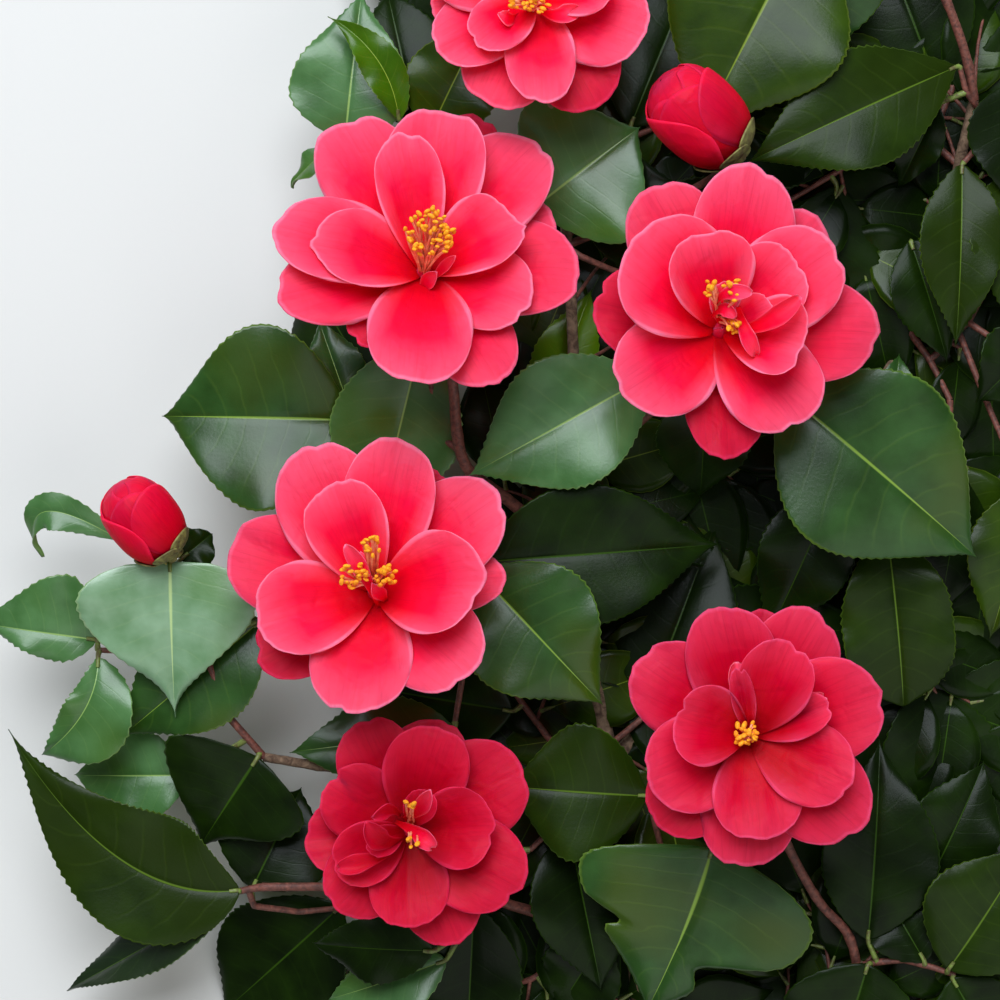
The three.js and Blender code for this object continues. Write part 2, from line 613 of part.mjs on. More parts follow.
// Leaf masses. stem meets the limb it grows on; twigs branch from the stem; each leaf stands
// at its place; sprays fill the shade beneath with smaller leaves by rule.
const masses = {
  leaves_left: {
    on: 'bough_left',
    stem: [[264, 757, 46], [228, 716, 52], [204, 650, 56], [174, 568, 61]],
    twigs: [[[206, 660, 55.2], [150, 652, 50], [98, 650, 50]]],
    leaves: [
      { at: [170, 561, 66], to: [175, 719, 56], wide: 182, peak: 0.27, left: 1.02, right: 1.06, arch: 0.05 },
      { at: [97, 640, 51], to: [-24, 622, 48], wide: 106, left: 0.5, right: 1.15, arch: 0.1 },
      { at: [120, 540, 50], via: [20, 440, 58], to: [38, 558, 40], wide: 52 },
      { at: [180, 560, 56], to: [214, 532, 50], wide: 46 },
      { at: [98, 657, 54], via: [98, 716, 62], to: [40, 757, 44], wide: 92, left: 1.25, right: 0.5, peak: 0.5 },
      { at: [262, 620, 54], to: [120, 738, 44], wide: 116 },
      { at: [258, 757, 49], to: [195, 854, 36], wide: 162, peak: 0.3, left: 0.95, right: 1.08 },
      { at: [190, 775, 38], to: [72, 775, 28], wide: 96 },
    ],
  },
  leaves_low_left: {
    on: 'bough_low_left',
    stem: [[262, 887, 44], [250, 889, 46], [236, 892, 48]],
    twigs: [[[248, 889, 46.3], [254, 906, 38], [300, 912, 31], [338, 908, 29]]],
    leaves: [
      { at: [240, 890, 50], via: [116, 908, 52], to: [8, 730, 58], wide: 130, peak: 0.36, fold: 0.18 },
      { at: [238, 893, 46], to: [64, 991, 26], wide: 58, roll: 24 },
      { at: [252, 889, 36], to: [302, 786, 28], wide: 120 },
      { at: [341, 906, 29], to: [221, 1014, 1.2], wide: 138, peak: 0.5, arch: 0.03 },
    ],
  },
  leaves_low: {
    on: 'bough_lower_left',
    stem: [[480, 892, 37], [472, 910, 40], [462, 932, 44]],
    twigs: [],
    leaves: [
      { at: [434, 951, 50], to: [310, 944, 38], wide: 74, roll: -18 },
      { at: [446, 960, 38], to: [326, 1000, 22], wide: 78, roll: 14 },
      { at: [474, 905, 40], to: [466, 1066, 14], wide: 104 },
    ],
  },
  leaves_middle: {
    on: 'bough_middle_left',
    stem: [[452, 629, 51], [470, 600, 54], [482, 565, 55]],
    twigs: [[[465, 608, 53], [462, 680, 46], [455, 722, 44]]],
    leaves: [
      { at: [480, 562, 58], to: [722, 544, 50], wide: 142, fold: 0.16 },
      { at: [478, 572, 60], to: [604, 706, 56], wide: 142 },
      { at: [455, 730, 45], to: [288, 752, 40], wide: 92, roll: 16 },
    ],
  },
  leaves_upper_left: {
    on: 'bough_upper_left',
    stem: [[462, 452, 60], [440, 436, 56], [400, 430, 52], [352, 422, 52]],
    twigs: [[[438, 435, 55.8], [432, 390, 60], [424, 342, 64]]],
    leaves: [
      { at: [422, 338, 60], to: [378, 520, 44], wide: 134, peak: 0.5, right: 1.04, left: 0.94 },
      { at: [350, 420, 53], to: [160, 416, 46], wide: 186, peak: 0.45, fold: 0.2 },
      { at: [352, 415, 52], to: [318, 318, 46], wide: 60 },
      { at: [398, 428, 46], to: [302, 268, 1.2], wide: 120 },
    ],
  },
  leaves_top_left: {
    on: 'bough_upper_left',
    stem: [[450, 345, 78], [440, 260, 66], [424, 180, 57], [404, 122, 53]],
    twigs: [[[416, 156, 55], [372, 140, 50], [340, 140, 48]]],
    leaves: [
      { at: [399, 120, 56], via: [392, 52, 66], to: [327, 15, 60], wide: 56, fold: 0.3 },
      { at: [345, 141, 50], to: [362, -10, 48], wide: 122, peak: 0.3 },
      { at: [336, 139, 48], to: [288, 186, 42], wide: 34, roll: 50 },
      { at: [418, 128, 46], to: [386, -14, 36], wide: 108 },
      { at: [428, 136, 54], to: [486, 16, 58], wide: 96 },
    ],
  },
  leaves_top: {
    on: 'bough_top',
    stem: [[570, 270, 49.3], [556, 240, 54], [540, 214, 57]],
    twigs: [[[556, 240, 54], [580, 256, 56], [612, 270, 50], [646, 278, 45]]],
    leaves: [
      { at: [534, 208, 58], to: [641, 126, 60], wide: 172, peak: 0.46 },
      { at: [644, 277, 45], to: [640, 152, 48], wide: 112 },
    ],
  },
  leaves_above: {
    on: 'shoot_right',
    stem: [[915, -55, 56], [870, -70, 57], [812, -72, 58]],
    twigs: [],
    leaves: [
      { at: [803, -70, 60], to: [698, 134, 66], wide: 190, peak: 0.44 },
      { at: [830, -74, 57], to: [820, 60, 40], wide: 120 },
    ],
  },
  leaves_top_right: {
    on: 'bough_right',
    stem: [[967, 128, 38.6], [990, 112, 41], [1012, 84, 43]],
    twigs: [[[984, 116, 40.4], [966, 92, 49], [960, 68, 52]], [[990, 112, 41], [975, 150, 41], [964, 162, 42]]],
    leaves: [
      { at: [958, 66, 53], to: [746, 163, 60], wide: 120, peak: 0.4, fold: 0.1 },
      { at: [1008, 84, 44], to: [1010, 206, 44], wide: 86, peak: 0.4 },
      { at: [938, 104, 45], to: [897, 190, 30], wide: 46 },
      { at: [1012, 170, 40], to: [1004, 318, 42], wide: 84 },
      { at: [962, 164, 42], to: [956, 348, 38], wide: 84 },
    ],
  },
  leaves_right: {
    on: 'bough_upper_right',
    stem: [[690, 374, 66.8], [730, 388, 62], [778, 392, 62]],
    twigs: [],
    leaves: [
      { at: [784, 392, 64], to: [979, 559, 56], wide: 196, peak: 0.42, fold: 0.1 },
      { at: [706, 382, 64], to: [700, 500, 38], wide: 96 },
    ],
  },
  leaves_centre: {
    on: 'bough_upper_right',
    stem: [[618, 440, 50], [634, 410, 56], [646, 382, 60]],
    twigs: [],
    leaves: [
      { at: [648, 377, 63], to: [468, 476, 60], wide: 134, peak: 0.46, fold: 0.14 },
    ],
  },
  leaves_right_middle: {
    on: 'bough_right',
    stem: [[866, 412, 14.8], [872, 450, 30], [884, 500, 38]],
    twigs: [[[872, 450, 30], [850, 470, 36], [838, 490, 38]]],
    leaves: [
      { at: [887, 530, 42], to: [904, 708, 34], wide: 112, peak: 0.5 },
      { at: [836, 486, 40], to: [766, 640, 32], wide: 96 },
      { at: [884, 452, 32], to: [900, 352, 26], wide: 60 },
    ],
  },
  leaves_right_edge: {
    on: 'bough_right',
    stem: [[925, 275, 21], [950, 310, 32], [1010, 350, 44]],
    twigs: [[[950, 310, 32], [990, 410, 37], [1020, 480, 40]], [[940, 296, 28], [924, 270, 30], [912, 244, 32]]],
    leaves: [
      { at: [1048, 330, 46], to: [976, 404, 44], wide: 84, roll: -12 },
      { at: [1030, 486, 41], to: [990, 640, 36], wide: 96 },
      { at: [910, 240, 33], to: [948, 364, 30], wide: 74 },
      { at: [1024, 476, 41], to: [1084, 610, 24], wide: 110 },
    ],
  },
  leaves_low_right: {
    on: 'bough_low_right',
    stem: [[864, 965, 31], [878, 962, 33], [905, 960, 35]],
    twigs: [[[905, 960, 35], [935, 968, 36], [955, 975, 37]]],
    leaves: [
      { at: [868, 940, 36], to: [880, 738, 32], wide: 118, peak: 0.4, left: 0.9, right: 1.1 },
      { at: [948, 970, 40], to: [1030, 842, 44], wide: 128 },
      { at: [868, 964, 36], to: [832, 1070, 18], wide: 142 },
      { at: [925, 962, 37], to: [872, 872, 26], wide: 76 },
      { at: [952, 978, 37], to: [1010, 1082, 20], wide: 112 },
      { at: [930, 880, 30], to: [985, 760, 30], wide: 92 },
    ],
  },
  underleaves_top: {
    on: 'bough_top',
    stem: [[563, 195, 53], [575, 160, 44], [582, 120, 40]],
    sprays: [
      { line: [[582, 120, 40], [530, 50, 36], [480, 10, 32]], count: 3 },
      { line: [[582, 120, 40], [600, 50, 36], [606, 24, 34]], count: 2 },
      { line: [[575, 160, 44], [650, 130, 34], [700, 90, 28]], count: 3 },
    ],
  },
  underleaves_top_right: {
    on: 'bough_right',
    stem: [[958, 165, 33], [930, 140, 30], [900, 120, 28]],
    sprays: [
      { line: [[900, 120, 28], [860, 60, 28], [836, 20, 26]], count: 3 },
      { line: [[930, 140, 30], [952, 90, 28], [960, 50, 26]], count: 3 },
      { line: [[900, 120, 28], [840, 170, 26], [790, 200, 24]], count: 2 },
    ],
  },
  underleaves_centre: {
    on: 'main_stem',
    stem: [[566, 565, 34.6], [600, 520, 26], [640, 470, 24]],
    leaves: [{ at: [544, 416, 28], to: [592, 288, 28], wide: 66 }],
    sprays: [
      { line: [[640, 470, 24], [640, 380, 24], [630, 330, 24]], count: 3 },
      { line: [[640, 470, 24], [720, 420, 24], [760, 380, 20]], count: 2 },
      { line: [[600, 520, 26], [560, 450, 28], [530, 400, 26]], count: 1 },
      { line: [[600, 520, 26], [680, 560, 22], [700, 600, 16]], count: 3 },
    ],
  },
  underleaves_right: {
    on: 'bough_right',
    stem: [[905, 325, 18.6], [930, 360, 22], [950, 400, 24]],
    sprays: [
      { line: [[950, 400, 24], [950, 480, 24], [930, 540, 20]], count: 3 },
      { line: [[930, 360, 22], [970, 320, 24], [985, 290, 22]], count: 2 },
    ],
  },
  underleaves_middle: {
    on: 'bough_right',
    stem: [[780, 555, 14.1], [800, 600, 20], [820, 640, 22]],
    sprays: [
      { line: [[820, 640, 22], [850, 730, 22], [870, 780, 20]], count: 3 },
      { line: [[820, 640, 22], [900, 660, 24], [940, 680, 24]], count: 3 },
      { line: [[800, 600, 20], [740, 680, 22], [720, 730, 22]], count: 2 },
    ],
  },
  underleaves_low_right: {
    on: 'bough_low_right',
    stem: [[770, 1018, 17.5], [790, 1040, 20], [815, 1050, 20]],
    sprays: [
      { line: [[815, 1050, 20], [880, 1030, 20], [920, 1000, 20]], count: 3 },
    ],
  },
  underleaves_low: {
    on: 'main_stem',
    stem: [[634, 925, 13.7], [600, 945, 20], [570, 955, 22]],
    sprays: [
      { line: [[570, 955, 22], [530, 980, 20], [490, 990, 14]], count: 3 },
      { line: [[570, 955, 22], [580, 990, 16], [575, 1015, 10]], count: 1 },
    ],
  },
  underleaves_inner: {
    on: 'main_stem',
    stem: [[612, 790, 20.6], [580, 770, 26], [550, 740, 28]],
    sprays: [
      { line: [[550, 740, 28], [520, 700, 30], [500, 670, 30]], count: 3 },
      { line: [[580, 770, 26], [566, 815, 33], [530, 850, 34]], count: 2 },
      { line: [[580, 770, 26], [640, 720, 30], [670, 690, 30]], count: 2 },
    ],
  },
  leaves_low_centre: {
    on: 'main_stem',
    stem: [[634, 920, 14], [668, 890, 34], [706, 862, 46]],
    twigs: [[[660, 896, 29.5], [662, 850, 36], [650, 806, 42]], [[652, 904, 25], [626, 925, 29], [604, 938, 30]]],
    leaves: [
      { at: [712, 848, 54], via: [694, 920, 56], to: [644, 1016, 42], wide: 238, peak: 0.34, fold: 0.06 },
      { at: [648, 796, 44], to: [505, 786, 44], wide: 138, peak: 0.5 },
      { at: [602, 940, 30], to: [556, 1012, 20], wide: 84 },
    ],
  },
};

function limbRings(limb, extra) {
  return stemRings(limb.path.map(spot), limb.radii, limbSides, limb.rows ?? limbRows, extra);
}

const pieces = [];

function keepPiece(owner, kind, rings) {
  const solid = toSolid(skin(rings));
  pieces.push({ owner, kind, solid, box: new THREE.Box3().setFromPoints(rings.flat()) });
  return solid;
}

// Whether a trial piece keeps off the pieces already placed; leaves of one mass may just cross.
function isClear(owner, rings) {
  const box = new THREE.Box3().setFromPoints(rings.flat());
  const trial = toSolid(skin(rings));
  for (const piece of pieces) {
    if (piece.owner === owner && piece.kind !== 'blade') continue;
    if (!piece.box.intersectsBox(box)) continue;
    const shared = trial.intersect(piece.solid).volume();
    if (shared > (piece.owner === owner ? crossVolume : touchVolume)) return false;
  }
  return true;
}

function guardOf(name) {
  return toSolid(skin(limbRings(limbs[name], clearGap)));
}

function buildLimb(name) {
  const limb = limbs[name];
  const solid = keepPiece(name, 'limb', limbRings(limb, 0));
  return limb.on ? solid.subtract(guardOf(limb.on)) : solid;
}

function buildBloom(name) {
  const bloom = blooms[name];
  const frame = bloomFrame(bloom);
  const [columnLength, columnRadius] = bloom.column;
  const parts = [
    turnedRings(frame.heart, frame.axis, heartProfile, heartSides),
    turnedRings(frame.heart, frame.axis, [[0, columnRoot], [columnLength, columnRadius]], columnSides),
    ...bloom.petals.map((petal) => petalRings(frame, bloom, petal)),
  ];
  const tip = spot(limbs[bloom.on].path.at(-1));
  const neck = frame.heart.clone().addScaledVector(frame.axis, -neckDepth);
  parts.push(stemRings([tip, neck], neckRadii, columnSides, 1));
  let solid = keepPiece(name, 'blade', parts[0]);
  for (const rings of parts.slice(1)) solid = solid.add(keepPiece(name, 'blade', rings));
  return solid.subtract(guardOf(bloom.on));
}

function buildBud(name) {
  const bud = buds[name];
  const from = spot(bud.from);
  const to = spot(bud.to);
  const axis = to.clone().sub(from).normalize();
  const length = from.distanceTo(to);
  const sized = (shape) => shape.map(([s, share]) => [s * length, share * bud.radius]);
  const body = keepPiece(name, 'blade', turnedRings(from, axis, sized(budShape), budSides));
  return body.add(keepPiece(name, 'blade', turnedRings(from, axis, sized(scaleShape), budSides)));
}

// A leaf's root: the nearest point on the mass's own stem and twigs, sunk a little past it.
function rootOn(lines, place) {
  let best = null;
  for (const line of lines) {
    for (let i = 0; i + 1 < line.length; i += 1) {
      const part = new THREE.Line3(line[i], line[i + 1]);
      const point = part.closestPointToPoint(place, true, new THREE.Vector3());
      if (!best || point.distanceTo(place) < best.distanceTo(place)) best = point;
    }
  }
  return best.add(best.clone().sub(place).setLength(rootSink));
}

const liftTries = [0, -3, 3, -6, 6, -9, 9, -13, 13, -17];
const sprayLifts = [0, -4, 4, -8, 8];
const sprayTurns = [0, 18, -18, 36, -36];

function growLeaf(mass, leaf, stations) {
  const lifts = leaf.turned ? sprayLifts : liftTries;
  const tries = (leaf.turned ? sprayTurns : [0]).flatMap((turn) => lifts.map((lift) => [turn, lift]));
  for (const [turn, lift] of tries) {
    const plan = leafPlan(leaf.turned ? leaf.turned(turn) : leaf, lift);
    const root = rootOn(mass.lines, plan.base);
    const trial = leafSkins(plan, root, stations, clearGap);
    if (!trial.every((rings) => isClear(mass.name, rings))) continue;
    for (const rings of leafSkins(plan, root, stations)) {
      mass.solid = mass.solid.add(keepPiece(mass.name, 'blade', rings));
    }
    return true;
  }
  return false;
}

// Repeatable chance between two values: the same seed gives the same spray.
function chance(seed) {
  let state = seed;
  return ([low, high]) => {
    state = (state * chanceFactor) % chancePrime;
    return low + ((high - low) * state) / chancePrime;
  };
}

function gridPlace(place) {
  const step = stepSize(place.z - branchShift.z);
  const across = windowMiddle + (place.x - branchShift.x) / step;
  const down = windowMiddle - (place.y - branchShift.y) / step;
  return [across, down, place.z - branchShift.z];
}

// Leaves stand left and right of a spray's twig in turn, the last one straight on, tips low.
function sprayLeaves(spray, seed) {
  const random = chance(seed);
  const line = spray.line.map(spot);
  const leaves = [];
  for (let i = 0; i < spray.count; i += 1) {
    const t = (i + 1) / spray.count;
    const foot = along(line, t);
    const run = along(line, Math.min(t + 0.05, 1)).sub(along(line, t - 0.05));
    const heading = Math.atan2(run.y, run.x);
    const sideways = (i % 2 === 0 ? 1 : -1) * random(spraySpreads);
    const spread = t < 1 ? sideways : random([-sprayEndSpread, sprayEndSpread]);
    const long = sprayLeafLength * random(sprayLengths);
    const drop = random(sprayDrops);
    const roll = random([-sprayRoll, sprayRoll]);
    const wide = (long * random(sprayWidths)) / stepSize(foot.z - branchShift.z);
    const turned = (turn) => {
      const angle = heading + radians(spread + turn);
      const out = new THREE.Vector3(Math.cos(angle) * long, Math.sin(angle) * long, -drop);
      const at = gridPlace(foot.clone().addScaledVector(out, sprayPetiole));
      return { at, to: gridPlace(foot.clone().add(out)), wide, roll };
    };
    leaves.push({ turned });
  }
  return leaves;
}

function startMass(name) {
  const mass = masses[name];
  const twigs = [...(mass.twigs ?? []), ...(mass.sprays ?? []).map((spray) => spray.line)];
  const lines = [mass.stem, ...twigs].map((line) => line.map(spot));
  const started = { name, lines, solid: null };
  lines.forEach((line, i) => {
    const shares = i === 0 ? stemShares : twigShares;
    const radii = shares.map((share) => share * twigRadius);
    const rings = stemRings(line, radii, i === 0 ? stemSides : twigSides, line.length - 1);
    const solid = keepPiece(name, 'twig', rings);
    started.solid = started.solid ? started.solid.add(solid) : solid;
  });
  return started;
}

const plant = new THREE.Group();

function addNode(name, solid, material) {
  const mesh = new THREE.Mesh(toGeometry(solid), material);
  mesh.name = name;
  plant.add(mesh);
}

for (const name of Object.keys(limbs)) addNode(name, buildLimb(name), bark());
for (const name of Object.keys(blooms)) addNode(name, buildBloom(name), blossom());
for (const name of Object.keys(buds)) addNode(name, buildBud(name), budSkin());

const started = Object.keys(masses).map(startMass);
for (const mass of started) {
  for (const leaf of masses[mass.name].leaves ?? []) growLeaf(mass, leaf, leafStations);
}
started.forEach((mass, i) => {
  (masses[mass.name].sprays ?? []).forEach((spray, j) => {
    const leaves = sprayLeaves(spray, seedStart + seedMassStep * i + seedSprayStep * j);
    for (const leaf of leaves) growLeaf(mass, leaf, fillerStations);
  });
});
for (const mass of started) {
  addNode(mass.name, mass.solid.subtract(guardOf(masses[mass.name].on)), foliage());
}

export default plant;
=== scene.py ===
# Flowering camellia branch, cut and laid face up on the floor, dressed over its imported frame
import math

import bpy
import numpy as np
from mathutils.kdtree import KDTree
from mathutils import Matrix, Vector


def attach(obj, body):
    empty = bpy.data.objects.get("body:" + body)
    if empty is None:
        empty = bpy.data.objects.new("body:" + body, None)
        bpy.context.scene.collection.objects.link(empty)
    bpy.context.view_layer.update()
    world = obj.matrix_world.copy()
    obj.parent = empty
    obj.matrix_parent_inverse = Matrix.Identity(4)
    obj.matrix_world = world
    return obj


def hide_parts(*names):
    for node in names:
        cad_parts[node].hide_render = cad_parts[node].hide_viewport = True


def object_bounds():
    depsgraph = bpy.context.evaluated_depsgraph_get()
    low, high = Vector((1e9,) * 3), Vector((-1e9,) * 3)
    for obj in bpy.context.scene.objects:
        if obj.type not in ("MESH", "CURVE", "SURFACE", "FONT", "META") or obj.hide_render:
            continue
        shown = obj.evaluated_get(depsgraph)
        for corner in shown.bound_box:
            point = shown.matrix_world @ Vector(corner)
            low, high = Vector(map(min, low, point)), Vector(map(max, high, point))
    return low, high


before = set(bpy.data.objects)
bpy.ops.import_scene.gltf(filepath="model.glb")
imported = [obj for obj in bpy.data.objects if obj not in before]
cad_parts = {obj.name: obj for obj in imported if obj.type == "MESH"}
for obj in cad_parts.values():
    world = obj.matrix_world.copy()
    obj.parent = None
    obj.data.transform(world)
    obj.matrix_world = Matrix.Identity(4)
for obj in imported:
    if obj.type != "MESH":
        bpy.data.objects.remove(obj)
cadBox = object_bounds()
mm = 0.001  # sizes below are in millimetres, the scene is in metres

# What the eye sees: a place is given as a pixel across, a pixel down and a height in mm
view = {
    "eyeHeight": 1200,
    "eyeReach": 3086,  # pixels, for a frame 1000 pixels wide
    "middle": 500,
    "shift": (-29.0, -1.0, -1.2),
    "sensorWidth": 36,
}

scene = bpy.context.scene
cameraData = bpy.data.cameras.new("camera")
cameraData.sensor_width = view["sensorWidth"]
cameraData.lens = view["sensorWidth"] * view["eyeReach"] / 1000
cameraData.clip_start = 0.01
camera = bpy.data.objects.new("camera", cameraData)
camera.location = [
    view["shift"][0] * mm,
    view["shift"][1] * mm,
    (view["eyeHeight"] + view["shift"][2]) * mm,
]
scene.collection.objects.link(camera)
scene.camera = camera
scene.view_settings.view_transform = "Standard"

up = np.array([0.0, 0.0, 1.0])
shift = np.array(view["shift"])


def stepSize(height):
    return (view["eyeHeight"] - height) / view["eyeReach"]


def spot(place):
    across, down, height = place
    step = stepSize(height)
    flat = [(across - view["middle"]) * step, (view["middle"] - down) * step, height]
    return np.array(flat) + shift


def gridPlace(place):
    height = place[2] - shift[2]
    step = stepSize(height)
    across = view["middle"] + (place[0] - shift[0]) / step
    down = view["middle"] - (place[1] - shift[1]) / step
    return [across, down, height]


def unit(v):
    return v / np.maximum(np.linalg.norm(v, axis=-1, keepdims=True), 1e-9)


def along(points, t):
    # a smooth line through the points, t from 0 to 1
    points = np.asarray(points, dtype=float)
    last = len(points) - 1
    scaled = np.clip(np.atleast_1d(t), 0, 1) * last
    i = np.minimum(scaled.astype(int), last - 1)
    f = (scaled - i)[:, None]
    p0, p1 = points[np.maximum(i - 1, 0)], points[i]
    p2, p3 = points[i + 1], points[np.minimum(i + 2, last)]
    return (
        p0 * (-0.5 * f + f**2 - 0.5 * f**3)
        + p1 * (1 - 2.5 * f**2 + 1.5 * f**3)
        + p2 * (0.5 * f + 2 * f**2 - 1.5 * f**3)
        + p3 * (-0.5 * f**2 + 0.5 * f**3)
    )


def chance(seed):
    state = [seed]

    def between(low, high):
        state[0] = (state[0] * 16807) % 2147483647
        return low + (high - low) * state[0] / 2147483647

    return between


# Colours are sRGB hex values, turned linear here and nowhere else
def linear(code):
    parts = [int(code[i : i + 2], 16) / 255 for i in (1, 3, 5)]
    return [c / 12.92 if c <= 0.04045 else ((c + 0.055) / 1.055) ** 2.4 for c in parts] + [1.0]


def addNode(tree, kind, links=None, **settings):
    node = tree.nodes.new(kind)
    for key, value in settings.items():
        setattr(node, key, value)
    for key, value in (links or {}).items():
        if isinstance(value, bpy.types.NodeSocket):
            tree.links.new(value, node.inputs[key])
        else:
            node.inputs[key].default_value = value
    return node


def startMaterial(name, **constants):
    # constants go straight on the shader's own sockets
    material = bpy.data.materials.new(name)
    material.use_nodes = True
    tree = material.node_tree
    tree.nodes.clear()
    shader = addNode(tree, "ShaderNodeBsdfPrincipled")
    for key, value in constants.items():
        shader.inputs[key.replace("_", " ")].default_value = value
    output = addNode(tree, "ShaderNodeOutputMaterial")
    tree.links.new(shader.outputs[0], output.inputs[0])
    return material, tree, shader


# The plant, repeated from its source: limbs, blooms from back petal to front, buds, leaf masses
limbs = {
    "main_stem": {
        "path": [
            [655, 1130, 5.6], [644, 1020, 9], [628, 880, 16], [602, 720, 25], [574, 590, 33],
            [550, 500, 40],
        ],
        "radii": [5, 2.7],
    },
    "bough_upper_left": {
        "path": [[562, 545, 36.5], [508, 500, 46], [464, 462, 58], [453, 385, 74], [447, 322, 80]],
        "radii": [2.5, 1.9],
    },
    "bough_upper_right": {
        "path": [[552, 508, 39.4], [618, 440, 50], [680, 385, 64], [718, 342, 76]],
        "radii": [2.5, 1.9],
    },
    "bough_top": {
        "path": [[585, 474, 44.6], [575, 380, 44], [568, 250, 50], [552, 110, 62], [538, 25, 74]],
        "radii": [2.3, 1.8],
    },
    "shoot_bud_top": {
        "path": [[568, 245, 50.3], [640, 215, 52], [700, 185, 58], [741, 157, 71.3]],
        "radii": [1.6, 1.4],
    },
    "bough_right": {
        "path": [
            [610, 765, 22.4], [700, 660, 17], [790, 545, 14], [872, 400, 15], [935, 250, 23],
            [974, 100, 42],
        ],
        "radii": [3, 2],
    },
    "shoot_right": {
        "path": [[974, 100, 42], [967, 60, 48], [946, 0, 55], [915, -55, 56]],
        "radii": [1.95, 1.6],
    },
    "bough_low_right": {
        "path": [[646, 1040, 8.2], [730, 1035, 13], [810, 1000, 22], [864, 965, 31]],
        "radii": [2.8, 2.1],
    },
    "shoot_low_right": {
        "path": [[858, 969, 30], [847, 933, 35], [818, 900, 44], [785, 840, 58], [757, 770, 72]],
        "radii": [1.9, 1.7],
    },
    "bough_middle_left": {
        "path": [[590, 665, 28.5], [510, 650, 38], [440, 625, 54], [386, 602, 70]],
        "radii": [2.4, 1.8],
    },
    "bough_lower_left": {
        "path": [[634, 920, 14], [550, 915, 22], [475, 890, 38], [425, 848, 60]],
        "radii": [2.4, 1.8],
    },
    "bough_low_left": {
        "path": [[500, 901, 32.5], [420, 890, 36], [330, 887, 40], [262, 887, 44]],
        "radii": [2, 1.6],
    },
    "bough_left": {
        "path": [[617, 810, 19.6], [520, 785, 26], [420, 768, 32], [340, 768, 38], [264, 757, 46]],
        "radii": [2.4, 1.8],
    },
}

